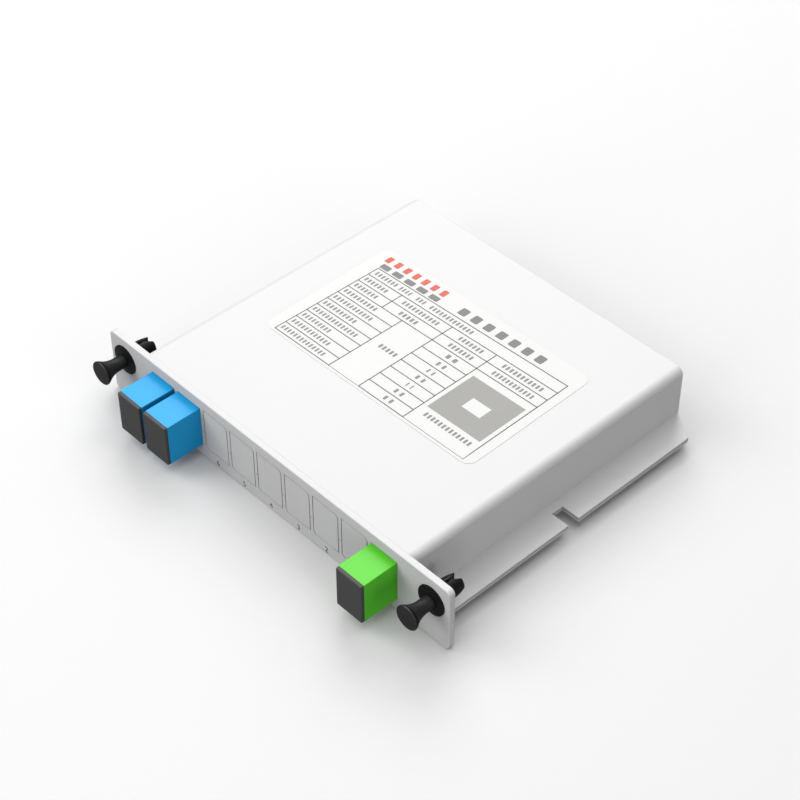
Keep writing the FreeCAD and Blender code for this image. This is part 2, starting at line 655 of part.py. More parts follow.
def add_fibre_guides(body):
    """Quarter rings inside the bends of the innermost fibre at each corner."""
    right = f"{port_x(ADAPTERS['in'])} - {LANE_BEND}"
    left = f"{port_x(ADAPTERS['out_7'])} + {INNER_BEND}"
    rear = f"{LANE_REAR} - {LANE_BEND}"
    front = f"{MODULE_Y} + {LANE_BEND}"
    ring_sector(body, "guide_rear_right", right, rear, f"{INNER_BEND} - {GUIDE_CLEAR}", 0)
    ring_sector(body, "guide_rear_left", left, rear, f"{INNER_BEND} - {GUIDE_CLEAR}", 90)
    ring_sector(body, "guide_front_left", f"{LANE_LEFT} + {LANE_BEND}", front,
                f"{LANE_BEND} - {GUIDE_CLEAR}", 180)
    ring_sector(body, "guide_front_right", right, f"{front} - lane_step",
                f"{INNER_BEND} - {GUIDE_CLEAR}", 270)


# Adapters with their latch holders and ceramic sleeves

def place_at_port(item, position, behind="0"):
    place(item, port_x(position), f"{behind} - box_depth / 2", PORT_Z)


def make_adapter(port, position):
    body = new_body(f"adapter_{port}")
    front = "panel_thick + adapter_front"
    block = pad(body, "housing_block",
                loops_sketch(body, "housing_outline", "XZ_Plane",
                             [centred_loop("adapter_wide", "adapter_tall")], front),
                "adapter_length", backward=True)
    round_edges(body, "housing_edges", block, "adapter_edge",
                lambda edge, middle: along(edge, "Y"))
    pad(body, "housing_ears",
        loops_sketch(body, "ear_outline", "XZ_Plane",
                     [centred_loop("adapter_wide", "adapter_tall + 2 * ear_rise")]),
        "ear_thick", backward=True)
    side, key = "bore_wide / 2", "key_wide / 2"
    low, high = "bore_tall / -2", "bore_tall / 2"
    socket = [(f"-1 * {side}", low), (side, low), (side, high), (key, high),
              (key, f"{high} + key_depth"), (f"-1 * {key}", f"{high} + key_depth"),
              (f"-1 * {key}", high), (f"-1 * {side}", high)]
    pocket(body, "housing_socket", loops_sketch(body, "socket_outline", "XZ_Plane", [socket]))
    place_at_port(body, position)


def make_holder(port, position, end):
    """Plate with a tube for the sleeve and two barbed arms that grip a plug."""
    body = new_body(f"holder_{end}_{port}")
    plate = centred_loop("bore_wide - 2 * fit_gap", "bore_tall - 2 * fit_gap")
    pad(body, "holder_plate_pad", loops_sketch(body, "plate_outline", "XZ_Plane", [plate]),
        "holder_plate")
    pad(body, "holder_tube_pad",
        circles_sketch(body, "tube_outline", "XZ_Plane", [("0", "0", "holder_radius")]),
        "holder_plate + holder_tube")
    outer = "( bore_tall / 2 - fit_gap )"
    inner = f"( {outer} - arm_thick )"
    tip = "-1 * ( holder_plate + arm_long )"
    arms = []
    for side in ("1 *", "-1 *"):
        arms.append([("0", f"{side} {outer}"), (tip, f"{side} {outer}"),
                     (tip, f"{side} {inner}"),
                     (f"{tip} + barb_long", f"{side} ( {inner} - barb_rise )"),
                     (f"{tip} + barb_long", f"{side} {inner}"), ("0", f"{side} {inner}")])
    pad(body, "holder_arms", loops_sketch(body, "arm_outline", "YZ_Plane", arms),
        "arm_wide", both=True)
    pocket(body, "sleeve_bore",
           circles_sketch(body, "sleeve_outline", "XZ_Plane",
                          [("0", "0", "sleeve_radius + fit_gap")]))
    if end == "rear":
        body.Placement = FreeCAD.Placement(Vector(0, 0, 0), FreeCAD.Rotation(Vector(0, 0, 1), 180))
    place_at_port(body, position, ADAPTER_MIDDLE)


def make_sleeve(port, position):
    body = new_body(f"sleeve_{port}")
    rings = [("0", "0", "sleeve_radius"), ("0", "0", "ferrule_radius + fit_gap / 2")]
    pad(body, "sleeve_tube", circles_sketch(body, "ring_outline", "XZ_Plane", rings),
        "sleeve_long", both=True)
    slit = [box_loop("sleeve_slit / -2", "sleeve_slit / 2", "0", "2 * sleeve_radius")]
    pocket(body, "sleeve_slit_cut", loops_sketch(body, "slit_outline", "XZ_Plane", slit))
    place_at_port(body, position, ADAPTER_MIDDLE)


def make_dust_cap(port, position):
    body = new_body(f"dust_cap_{port}")
    face = "panel_thick + adapter_front"
    plate = pad(body, "cap_plate_pad",
                loops_sketch(body, "cap_outline", "XZ_Plane",
                             [centred_loop("cap_wide", "cap_tall")], face), "cap_plate")
    front = -(size["panel_thick"] + size["adapter_front"] + size["cap_plate"])
    round_edges(body, "cap_edges", plate, "cap_edge",
                lambda edge, middle: along(edge, "Y") or near(edge.BoundBox.YMax, front))
    stem = centred_loop("bore_wide - 2 * cap_fit", "bore_tall - 2 * cap_fit")
    hollow = centred_loop("bore_wide - 2 * cap_fit - 2 * cap_wall",
                          "bore_tall - 2 * cap_fit - 2 * cap_wall")
    pad(body, "cap_stem_pad", loops_sketch(body, "stem_outline", "XZ_Plane", [stem, hollow], face),
        "cap_stem", backward=True)
    place_at_port(body, position)


# Inner connectors

def make_grip(port, position):
    body = new_body(f"grip_{port}")
    start = "-1 * grip_start"
    pad(body, "grip_block",
        loops_sketch(body, "grip_outline", "XZ_Plane", [centred_loop("grip_wide", "grip_tall")],
                     start), "grip_long", backward=True)
    pad(body, "grip_key",
        loops_sketch(body, "key_outline", "XZ_Plane",
                     [box_loop("rib_wide / -2", "rib_wide / 2", "0", "grip_tall / 2 + rib_rise")],
                     start), "rib_long", backward=True)
    pocket(body, "grip_bore",
           loops_sketch(body, "bore_outline", "XZ_Plane",
                        [centred_loop("plug_wide + 2 * plug_gap", "plug_tall + 2 * plug_gap")]))
    grooves = []
    for side in ("1 *", "-1 *"):
        low = "grip_start + grip_long - 2 * groove_pitch"
        grooves.append(box_loop(f"{side} ( grip_wide / 2 - groove_deep )", f"{side} grip_wide",
                                low, f"{low} + groove_pitch / 2"))
    cut = pocket(body, "grip_groove", loops_sketch(body, "groove_outline", "XY_Plane", grooves))
    pattern = repeat(body, "grip_grooves", cut, "Y_Axis", "groove_pitch", GROOVE_COUNT)
    pattern.Reversed = True
    place_at_port(body, position, ADAPTER_MIDDLE)


def make_plug(port, position):
    body = new_body(f"plug_{port}")
    length = "grip_start + grip_long - plug_recess - plug_start"
    pad(body, "plug_block",
        loops_sketch(body, "plug_outline", "XZ_Plane", [centred_loop("plug_wide", "plug_tall")],
                     "-1 * plug_start"), length, backward=True)
    cavity = "holder_plate + holder_tube + barb_rise - plug_start"
    pocket(body, "plug_mouth",
           circles_sketch(body, "mouth_outline", "XZ_Plane",
                          [("0", "0", "holder_radius + plug_gap")], "-1 * plug_start"),
           cavity)
    pocket(body, "ferrule_seat",
           circles_sketch(body, "seat_outline", "XZ_Plane", [("0", "0", "ferrule_radius")],
                          "-1 * plug_start"), "ferrule_long - plug_start")
    pocket(body, "fibre_passage",
           circles_sketch(body, "fibre_outline", "XZ_Plane",
                          [("0", "0", "fibre_radius + fit_gap")],
                          "-1 * ( plug_start + " + length + " )"), "passage_long", backward=True)
    middle = "holder_plate + arm_long - barb_long / 2"
    grooves = []
    for side in ("1 *", "-1 *"):
        floor = f"{side} ( bore_tall / 2 - fit_gap - arm_thick - barb_rise - plug_gap )"
        grooves.append(box_loop(f"{middle} - barb_long", f"{middle} + barb_long",
                                floor, f"{side} plug_tall"))
    pocket(body, "latch_grooves", loops_sketch(body, "latch_outline", "YZ_Plane", grooves))
    place_at_port(body, position, ADAPTER_MIDDLE)


def make_ferrule(port, position):
    body = new_body(f"ferrule_{port}")
    rod = pad(body, "ferrule_rod",
              circles_sketch(body, "rod_outline", "XZ_Plane", [("0", "0", "ferrule_radius")]),
              "ferrule_long", backward=True)
    names = [f"Edge{k}" for k, edge in enumerate(rod.Shape.Edges, start=1)
             if near(edge.BoundBox.YMax, 0.0)]
    chamfer = body.newObject("PartDesign::Chamfer", "ferrule_tip")
    chamfer.Base = (rod, names)
    bind(chamfer, "Size", "ferrule_bevel")
    place_at_port(body, position, ADAPTER_MIDDLE)


def make_boot(port, position):
    body = new_body(f"boot_{port}")
    start = "( grip_start + grip_long - plug_recess )"
    end = f"( {start} + boot_long )"
    bore = "fibre_radius + fit_gap"
    section = [(bore, start), ("boot_root", start), ("boot_root", f"{start} + plug_recess"),
               ("( boot_root + boot_tip ) / 2", f"{start} + plug_recess"),
               ("boot_tip", end), (bore, end)]
    revolve(body, "boot_turned", loops_sketch(body, "boot_section", "XY_Plane", [section]), "Y_Axis")
    place_at_port(body, position, ADAPTER_MIDDLE)


# Push-pull fasteners at the ends of the panel

def place_fastener(item, side):
    place(item, f"{side} * {FASTENER_X}", PANEL_BACK, "fastener_z")


def make_grommet(name, side):
    """Collar and barrel with two split legs behind the panel."""
    body = new_body(f"grommet_{name}")
    bore = "pin_radius + fit_gap"
    nose_end = "barrel_long + nose_long"
    section = [("0", nose_end), ("nose_tip", nose_end), ("barrel_radius", "barrel_long"),
               ("barrel_radius", "snap_gap"), ("throat_radius", "snap_gap"),
               ("throat_radius", "-1 * panel_thick"), ("collar_radius", "-1 * panel_thick"),
               ("collar_radius", "-1 * ( panel_thick + collar_rim )"),
               ("collar_flat", "-1 * ( panel_thick + collar_thick )"),
               (bore, "-1 * ( panel_thick + collar_thick )"), (bore, "pin_reach + knob_gap"),
               ("0", "pin_reach + knob_gap")]
    sketch = new_sketch(body, "grommet_section", "XY_Plane")
    add_loop(sketch, section, curve=1)
    revolve(body, "grommet_turned", sketch, "Y_Axis")
    slot = [("leg_slot / -2", "leg_root"), ("leg_slot / 2", "leg_root"),
            ("leg_slot / 2", "pin_reach"), ("leg_fork / 2", nose_end), ("leg_fork / -2", nose_end),
            ("leg_slot / -2", "pin_reach")]
    pocket(body, "leg_slot_cut", loops_sketch(body, "fork_outline", "XY_Plane", [slot]))
    place_fastener(body, side)


def make_plunger(name, side):
    """Trumpet-shaped knob on a pin that spreads the legs."""
    body = new_body(f"plunger_{name}")
    start = "( panel_thick + collar_thick + knob_gap )"
    end = f"( {start} + knob_long )"
    rim = f"-1 * ( {end} - knob_rim )"
    flare = f"-1 * ( {end} - knob_rim - rim_groove )"
    section = [("0", f"-1 * {end}"), ("knob_end - rim_edge", f"-1 * {end}"),
               ("knob_end", f"-1 * ( {end} - rim_edge )"), ("knob_end", rim),
               ("knob_end - rim_sink", rim), ("knob_end - rim_sink", flare),
               ("knob_flare", flare), ("knob_neck", f"-1 * ( {start} + neck_long )"),
               ("knob_neck", f"-1 * {start}"), ("pin_radius", f"-1 * {start}"),
               ("pin_radius", "pin_reach - pin_radius / 2"), ("pin_radius / 2", "pin_reach"),
               ("0", "pin_reach")]
    sketch = new_sketch(body, "plunger_section", "XY_Plane")
    add_loop(sketch, section, curve=6)
    revolve(body, "plunger_turned", sketch, "Y_Axis")
    place_fastener(body, side)


# Splitter module, its end boots and the case screws

def make_module():
    body = new_body("splitter_module")
    tube = pad(body, "module_tube",
               loops_sketch(body, "module_outline", "YZ_Plane",
                            [centred_loop("module_side", "module_side")]),
               "module_long", both=True)
    round_edges(body, "module_edges", tube, "module_edge", lambda edge, middle: along(edge, "X"))
    place(body, y=MODULE_Y, z=MODULE_Z)


def make_module_boot(name, side, bores):
    """Rubber end of the module with a passage for each fibre."""
    body = new_body(f"module_boot_{name}")
    inner = "module_side - 2 * module_edge"
    pad(body, "boot_block",
        loops_sketch(body, "block_outline", "YZ_Plane", [centred_loop(inner, inner)],
                     f"{side} * module_long / 2"), "module_boot", backward=side < 0)
    holes = [(f"{step} * pair_space", "0", "fibre_radius + fit_gap") for step in bores]
    pocket(body, "boot_bores", circles_sketch(body, "bore_outline", "YZ_Plane", holes))
    place(body, y=MODULE_Y, z=MODULE_Z)


def make_screws():
    """Four case screws in one group, each a head and a shank."""
    screws = []
    for k, (x, y) in enumerate(boss_places()):
        head = doc.addObject("Part::Cylinder", f"screw_head_{k}")
        bind(head, "Radius", "head_radius")
        bind(head, "Height", "head_thick")
        shank = doc.addObject("Part::Cylinder", f"screw_shank_{k}")
        bind(shank, "Radius", "screw_radius")
        bind(shank, "Height", "head_thick + screw_long")
        recess = doc.addObject("Part::Box", f"screw_recess_{k}")
        bind(recess, "Length", "2 * screw_radius")
        bind(recess, "Width", "screw_slot")
        bind(recess, "Height", "head_thick / 2")
        place(head, x, y, "head_sink")
        place(shank, x, y, "head_sink")
        place(recess, f"{x} - screw_radius", f"{y} - screw_slot / 2", "head_sink")
        joined = doc.addObject("Part::Fuse", f"screw_joined_{k}")
        joined.Base = head
        joined.Tool = shank
        screw = doc.addObject("Part::Cut", f"screw_{k}")
        screw.Base = joined
        screw.Tool = recess
        screws.append(screw)
    group = doc.addObject("Part::Compound", "case_screws")
    group.Links = screws
    group.Label = "case_screws"
    pieces.append(group)


def make_label():
    body = new_body("label_sheet")
    sheet_pad = pad(body, "label_pad",
                    loops_sketch(body, "label_outline", "XY_Plane",
                                 [centred_loop("label_long", "label_wide")]), "label_thick")
    round_edges(body, "label_corners", sheet_pad, "label_corner",
                lambda edge, middle: along(edge, "Z"))
    body.Placement = FreeCAD.Placement(Vector(0, 0, 0), FreeCAD.Rotation(Vector(0, 0, 1), LABEL_TURN))
    place(body, "label_x", "label_y", "case_height")


# Buffered fibres from the module to the connectors

def rounded_path(points, radii):
    """Straight runs joined by tangent arcs, one radius for each inner point."""
    edges = []
    last = points[0]
    for k in range(1, len(points) - 1):
        before, corner, after = points[k - 1], points[k], points[k + 1]
        into = (corner - before).normalize()
        out = (after - corner).normalize()
        half_turn = into.getAngle(out) / 2
        reach = radii[k - 1] * math.tan(half_turn)
        first, second = corner - into * reach, corner + out * reach
        inward = (out - into).normalize()
        centre = corner + inward * (radii[k - 1] / math.cos(half_turn))
        middle = centre - inward * radii[k - 1]
        edges.append(Part.LineSegment(last, first).toShape())
        edges.append(Part.Arc(first, middle, second).toShape())
        last = second
    edges.append(Part.LineSegment(last, points[-1]).toShape())
    return Part.Wire(edges)


def make_fibre(port, points, radii):
    path = rounded_path(points, radii)
    start = (points[1] - points[0]).normalize()
    ring = Part.Wire(Part.makeCircle(size["fibre_radius"], points[0], start))
    tube = path.makePipeShell([ring], True, False)
    wanted = math.pi * size["fibre_radius"] ** 2 * path.Length
    if abs(tube.Volume - wanted) > VOLUME_SLACK * wanted:
        raise ValueError(f"fibre {port} has a wrong volume")
    item = doc.addObject("Part::Feature", f"fibre_{port}")
    item.Label = f"fibre_{port}"
    item.Shape = tube
    pieces.append(item)


def make_fibres():
    """Routes of the three fibres, with the same lanes and bends as the tray's guides."""
    back = -size["box_depth"] / 2
    middle = size["adapter_length"] / 2 - size["panel_thick"] - size["adapter_front"]
    boot_start = back + middle + size["grip_start"] + size["grip_long"] - size["plug_recess"]
    start = boot_start + size["boot_long"] - size["fibre_tuck"]
    lead = boot_start + size["boot_long"] + size["ramp_lead"]
    ramp = lead + size["ramp_long"]
    high = size["case_height"] / 2 + size["port_rise"]
    low = size["floor_thick"] + size["module_lift"] + size["module_side"] / 2
    module_y = back + size["module_back"]
    module_end = size["module_long"] / 2
    rear = size["box_depth"] / 2 - size["lane_rear"]
    left = size["lane_side"] - size["box_width"] / 2
    step = size["lane_step"]
    bend = -left - module_end - size["module_boot"] - size["bend_gap"]
    soft = size["ramp_bend"]
    port = {name: position * size["port_pitch"] for name, position in ADAPTERS.items()}
    points = [Vector(port["in"], start, high), Vector(port["in"], lead, high),
              Vector(port["in"], ramp, low), Vector(port["in"], rear, low),
              Vector(left, rear, low), Vector(left, module_y, low),
              Vector(-module_end, module_y, low)]
    make_fibre("in", points, [soft, soft, bend, bend, bend])
    for name, rank in (("out_8", 1), ("out_7", 2)):
        side = port["in"] - rank * step
        lane = rear - rank * step
        first = module_y + (rank - 1.5) * size["pair_space"]
        points = [Vector(module_end, first, low), Vector(side, first, low),
                  Vector(side, lane, low), Vector(port[name], lane, low),
                  Vector(port[name], ramp, low), Vector(port[name], lead, high),
                  Vector(port[name], start, high)]
        into_rear = bend - rank * step
        off_module = into_rear - step
        along_rear = bend - 2 * step
        make_fibre(name, points, [off_module, into_rear, along_rear, soft, soft])


make_front_panel()
make_top_cover()
make_base_tray()
make_label()
for port, position in ADAPTERS.items():
    make_adapter(port, position)
    for end in ("front", "rear"):
        make_holder(port, position, end)
    make_sleeve(port, position)
    make_dust_cap(port, position)
    make_grip(port, position)
    make_plug(port, position)
    make_ferrule(port, position)
    make_boot(port, position)
for name, side in (("left", -1), ("right", 1)):
    make_grommet(name, side)
    make_plunger(name, side)
make_module()
make_module_boot("left", -1, [0])
make_module_boot("right", 1, [-0.5, 0.5])
make_screws()
make_fibres()
doc.recompute()

# Check and export
for item in doc.Objects:
    if "Invalid" in item.State or "Error" in item.State:
        raise ValueError(f"{item.Label} failed: {item.State}")
os.makedirs("parts", exist_ok=True)
for piece in pieces:
    if piece.Shape.isNull() or not piece.Shape.isValid() or not piece.Shape.Solids:
        raise ValueError(f"{piece.Label} has no valid solid")
for piece in pieces:
    piece.Shape.exportStep(f"parts/{piece.Label}.step")
print(len(pieces), "pieces")
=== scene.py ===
# %% [markdown]
# # A plug-in fibre splitter cassette
#
# The real object is a flat white plastic case that slides into a chassis. Its front panel
# carries fibre adapters with dust caps, six spare positions, and a black push-pull fastener
# at each end. A printed label lies on the roof.
#
# All hard shapes come from the CAD model. This lesson gives them their finishes, prints the
# label and the port numbers, and sets the camera and the light.

# %% Load the frame
import math

import bpy
from mathutils import Matrix, Vector


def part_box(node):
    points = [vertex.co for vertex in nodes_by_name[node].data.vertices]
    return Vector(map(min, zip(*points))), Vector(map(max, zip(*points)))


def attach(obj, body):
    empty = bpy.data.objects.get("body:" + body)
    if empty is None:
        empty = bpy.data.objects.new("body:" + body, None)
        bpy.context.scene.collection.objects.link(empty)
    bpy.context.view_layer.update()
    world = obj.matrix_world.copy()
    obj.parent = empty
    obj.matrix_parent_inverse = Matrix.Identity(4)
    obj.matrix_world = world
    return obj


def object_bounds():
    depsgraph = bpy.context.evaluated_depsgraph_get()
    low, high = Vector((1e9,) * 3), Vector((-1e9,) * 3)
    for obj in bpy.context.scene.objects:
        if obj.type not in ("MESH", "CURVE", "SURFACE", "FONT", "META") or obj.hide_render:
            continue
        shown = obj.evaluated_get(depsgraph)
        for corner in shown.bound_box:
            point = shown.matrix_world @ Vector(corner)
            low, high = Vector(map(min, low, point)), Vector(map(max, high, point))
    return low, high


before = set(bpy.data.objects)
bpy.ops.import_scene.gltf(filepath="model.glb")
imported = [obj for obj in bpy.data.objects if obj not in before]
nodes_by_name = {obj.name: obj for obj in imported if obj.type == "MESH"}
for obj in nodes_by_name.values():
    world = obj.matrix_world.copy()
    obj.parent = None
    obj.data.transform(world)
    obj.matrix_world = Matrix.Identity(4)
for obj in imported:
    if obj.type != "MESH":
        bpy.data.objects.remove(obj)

MM = 0.001
cad_box = [list(corner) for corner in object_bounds()]
print("CAD box in mm:", [[round(value / MM, 2) for value in corner] for corner in cad_box])

# %% [markdown]
# ## The camera
#
# The photograph was taken with a long lens from above the input end. Its place was solved from
# the straight edges of the case, panel and label. It could be aimed at a point with a Track To
# constraint, but the solved directions are exact, so they are written into its matrix.

# %% Place the camera
AZIMUTH = 46.718
ELEVATION = 42.910
ROLL = 0.172
LENS_MM = 90.16
SENSOR_MM = 36
CAMERA_MM = (283.37, -271.91, 371.23)


def camera_axes(azimuth, elevation, roll):
    """The camera's own right, up and backward directions."""
    azimuth, elevation, roll = (math.radians(angle) for angle in (azimuth, elevation, roll))
    back = Vector((math.sin(azimuth) * math.cos(elevation),
                   -math.cos(azimuth) * math.cos(elevation),
                   math.sin(elevation)))
    right = (-back).cross(Vector((0, 0, 1))).normalized()
    down = (-back).cross(right)
    turned_right = math.cos(roll) * right + math.sin(roll) * down
    turned_down = math.cos(roll) * down - math.sin(roll) * right
    return turned_right, -turned_down, back


camera_data = bpy.data.cameras.new("photo_camera")
camera_data.sensor_width = SENSOR_MM
camera_data.lens = LENS_MM
camera = bpy.data.objects.new("photo_camera", camera_data)
bpy.context.scene.collection.objects.link(camera)
camera_turn = Matrix(camera_axes(AZIMUTH, ELEVATION, ROLL)).transposed()
camera.matrix_world = Matrix.Translation(Vector(CAMERA_MM) * MM) @ camera_turn.to_4x4()
bpy.context.scene.camera = camera
print("camera at", [round(value, 4) for value in camera.location], "lens", LENS_MM, "mm")

# %% [markdown]
# ## The floor
#
# The object lies on a white sweep. One white could serve, but it would light the walls from below
# more strongly than a real table does. So the floor is white to the camera and darker to the
# object, by the kind of ray that meets it.

# %% Lay the floor
FLOOR_HALF = 3.0
FLOOR_SEEN = 0.96
FLOOR_BOUNCE = 0.62


def start_material(name):
    """A new material, its nodes, the function that links them, and its shader."""
    material = bpy.data.materials.new(name)
    material.use_nodes = True
    tree = material.node_tree
    return material, tree.nodes, tree.links.new, tree.nodes["Principled BSDF"]


def blend_colour(made, link, factor, start, end, blend="MIX"):
    """A Mix node by a mask between two colours, each three numbers or a socket."""
    mix = made.new("ShaderNodeMix")
    mix.data_type = "RGBA"
    mix.blend_type = blend
    for side, colour in (("A", start), ("B", end)):
        if isinstance(colour, bpy.types.NodeSocket):
            link(colour, mix.inputs[side])
        else:
            mix.inputs[side].default_value = (*colour, 1)
    link(factor, mix.inputs["Factor"])
    return mix.outputs["Result"]


def white_floor(seen, bounce):
    """A matt white that has one tone to the camera and another to every other ray."""
    material, made, link, shader = start_material("floor_white")
    shader.inputs["Roughness"].default_value = 0.9
    shader.inputs["Specular IOR Level"].default_value = 0.1
    ray = made.new("ShaderNodeLightPath")
    link(blend_colour(made, link, ray.outputs["Is Camera Ray"], [bounce] * 3, [seen] * 3),
         shader.inputs["Base Color"])
    return material


bpy.ops.object.select_all(action="DESELECT")
bpy.ops.mesh.primitive_plane_add(size=2 * FLOOR_HALF, location=(0, 0, cad_box[0][2]))
floor = bpy.context.active_object
floor.name = "floor"
bpy.ops.object.transform_apply(location=True, rotation=True, scale=True)
floor.data.materials.append(white_floor(FLOOR_SEEN, FLOOR_BOUNCE))
print("floor at", round(floor.data.vertices[0].co.z / MM, 3), "mm")

# %% [markdown]
# ## The light
#
# The strongest lamp stands behind the object on the left, so the roof is nearly white, the walls
# that face the camera are mid grey, and a soft shadow lies in front of the panel and along the
# right wing. A second one stands at the front left, and one broad light hangs overhead. Weak ones
# all round fill the shadows. Two of those stand low, so they light the walls and leave it dark
# under the wing. The world adds a trace of light from every side. One big dome would be simpler,
# but then both walls would have one tone, and here the panel is lighter than the side.
#
# Studio pictures of products hide the colour that a bright part throws on its surroundings, so
# the lamps' light is not bounced about.

# %% Hang the lights
WORLD_STRENGTH = 0.03
LAMP_TARGET = Vector((0, 0, 0.01))
LIGHTS = [
    # name, place in m, size in m, power in W
    ("rear_left_softbox", (-0.6, 0.6, 0.75), 0.7, 5.6),
    ("top_softbox", (0.0, 0.0, 1.1), 1.1, 5.2),
    ("front_left_softbox", (-0.7, -0.6, 0.75), 0.7, 4.8),
    ("front_fill", (0.0, -1.0, 0.45), 0.7, 2.75),
    ("right_fill", (1.0, -0.1, 0.45), 0.7, 1.8),
    ("rear_fill", (0.0, 1.0, 0.7), 0.7, 1.3),
    ("low_corner_fill", (0.85, -0.85, 0.17), 0.3, 1.0),
    ("low_right_fill", (1.2, -0.1, 0.17), 0.3, 0.6),
]


def hang_light(name, place, size, power):
    """A square area lamp that faces the object's middle and gives direct light only."""
    data = bpy.data.lights.new(name, "AREA")
    data.size = size
    data.energy = power
    data.cycles.max_bounces = 0
    lamp = bpy.data.objects.new(name, data)
    bpy.context.scene.collection.objects.link(lamp)
    lamp.location = place
    lamp.rotation_euler = (LAMP_TARGET - Vector(place)).to_track_quat("-Z", "Y").to_euler()
    print("lamp", name, "at", place, "with", power, "W")


for light in LIGHTS:
    hang_light(*light)

world = bpy.data.worlds.new("studio")
bpy.context.scene.world = world
world.use_nodes = True
sky = world.node_tree.nodes["Background"]
sky.inputs["Color"].default_value = (1, 1, 1, 1)
sky.inputs["Strength"].default_value = WORLD_STRENGTH

view = bpy.context.scene.view_settings
view.view_transform = "Standard"
print("world strength", WORLD_STRENGTH, "view", view.view_transform)

# %% [markdown]
# ## Effects that several finishes share
#
# A moulded part copies the fine spark-eroded texture of its mould, and its tone wanders a little
# with the wall behind it. Both could be painted, but noise in the object's own coordinates needs
# no unwrapping and has the same scale on every piece. One node group holds it, and each material
# places the group with its own grain size.

# %% Build the moulded grain group
PATCHES_PER_METRE = 45.0


def start_group(name, inputs, outputs):
    """A node group with number inputs at their starting values and outputs of a kind."""
    group = bpy.data.node_groups.new(name, "ShaderNodeTree")
    for title, value in inputs.items():
        socket = group.interface.new_socket(title, in_out="INPUT", socket_type="NodeSocketFloat")
        socket.default_value = value
    for title, kind in outputs.items():
        group.interface.new_socket(title, in_out="OUTPUT", socket_type=f"NodeSocket{kind}")
    return group, group.nodes, group.links.new


def make_grain_group():
    """Height is the fine texture and Patch is the slow change of tone, both from 0 to 1."""
    group, made, link = start_group("moulded_grain", {"Grains per metre": 2500.0, "Roundness": 0.5},
                                    {"Height": "Float", "Patch": "Float"})
    entry = made.new("NodeGroupInput")
    leave = made.new("NodeGroupOutput")
    place = made.new("ShaderNodeTexCoord")
    grain = made.new("ShaderNodeTexNoise")
    grain.inputs["Detail"].default_value = 3.0
    patch = made.new("ShaderNodeTexNoise")
    patch.inputs["Scale"].default_value = PATCHES_PER_METRE
    patch.inputs["Detail"].default_value = 2.0
    link(place.outputs["Object"], grain.inputs["Vector"])
    link(place.outputs["Object"], patch.inputs["Vector"])
    link(entry.outputs["Grains per metre"], grain.inputs["Scale"])
    link(entry.outputs["Roundness"], grain.inputs["Roughness"])
    link(grain.outputs["Fac"], leave.inputs["Height"])
    link(patch.outputs["Fac"], leave.inputs["Patch"])
    return group


grain_group = make_grain_group()
print("group", grain_group.name, "with", len(grain_group.nodes), "nodes")

# %% [markdown]
# A moulded edge is never sharp: it has a small radius that catches the light. The CAD model keeps
# most of these edges sharp to stay light, and a Bevel node rounds the shading alone. The group also
# tells how far the rounded normal leans away, which marks the edges. A finish makes its colour
# paler there: handling polishes and lightens a part there first, and the paler colour is also a
# painted highlight.

# %% Build the soft edge group
EDGE_SAMPLES = 4


def make_edge_group():
    """Normal is rounded over the edges, and Edge is a mask that is 1 on them."""
    group, made, link = start_group("soft_edge", {"Radius": 0.2 * MM, "Reach": 6.0},
                                    {"Normal": "Vector", "Edge": "Float"})
    entry = made.new("NodeGroupInput")
    leave = made.new("NodeGroupOutput")
    rounded = made.new("ShaderNodeBevel")
    rounded.samples = EDGE_SAMPLES
    flat = made.new("ShaderNodeNewGeometry")
    lean = made.new("ShaderNodeVectorMath")
    lean.operation = "DOT_PRODUCT"
    away = made.new("ShaderNodeMath")
    away.operation = "SUBTRACT"
    away.inputs[0].default_value = 1.0
    mask = made.new("ShaderNodeMath")
    mask.operation = "MULTIPLY"
    mask.use_clamp = True
    link(entry.outputs["Radius"], rounded.inputs["Radius"])
    link(rounded.outputs["Normal"], lean.inputs[0])
    link(flat.outputs["Normal"], lean.inputs[1])
    link(lean.outputs["Value"], away.inputs[1])
    link(away.outputs["Value"], mask.inputs[0])
    link(entry.outputs["Reach"], mask.inputs[1])
    link(rounded.outputs["Normal"], leave.inputs["Normal"])
    link(mask.outputs["Value"], leave.inputs["Edge"])
    return group


edge_group = make_edge_group()
print("group", edge_group.name, "with", len(edge_group.nodes), "nodes")

# %% [markdown]
# Scored lines and gaps let little light out, so they lie in shade. They are only as wide as a
# pixel, so that shade is painted into their colour by a mask of how closed in a point is. The mask
# could be painted, but an Ambient Occlusion node with a short reach finds every such place by
# itself. Its mask starts below the value of a plain inner corner, which gets no painted shade.

# %% Build the crevice group
CREVICE_REACH = 0.9 * MM
CREVICE_SAMPLES = 8
CREVICE_STARTS = 0.5
CREVICE_FULL = 0.2


def make_crevice_group():
    """Closed is 0 on open faces and rises to 1 deep in a narrow groove."""
    group, made, link = start_group("crevice", {}, {"Closed": "Float"})
    leave = made.new("NodeGroupOutput")
    open_share = made.new("ShaderNodeAmbientOcclusion")
    open_share.samples = CREVICE_SAMPLES
    open_share.inputs["Distance"].default_value = CREVICE_REACH
    mask = made.new("ShaderNodeMapRange")
    mask.inputs["From Min"].default_value = CREVICE_STARTS
    mask.inputs["From Max"].default_value = CREVICE_FULL
    link(open_share.outputs["AO"], mask.inputs["Value"])
    link(mask.outputs["Result"], leave.inputs["Closed"])
    return group


crevice_group = make_crevice_group()
print("group", crevice_group.name, "with", len(crevice_group.nodes), "nodes")

# %% [markdown]
# The two shells of the case meet in a parting line that runs along the wings' edges. Each shell has
# a softly broken edge there, so the line is a fine V with a dark upper lip and a bright lower one.
# In the CAD model the shells lie flush. Cutting the V there would add faces for something as fine
# as a pixel, so the group gives its profile by the height above the floor. A finish uses it for a
# bump and for a grey that paints the shade and dust in the line.

# %% Build the parting line group
SEAM_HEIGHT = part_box("top_cover")[0].z
SEAM_HALF = 0.2 * MM
# The grey of the painted shade and dust in the parting line.
SEAM_SHADE_AND_DUST = (0.55, 0.55, 0.55)


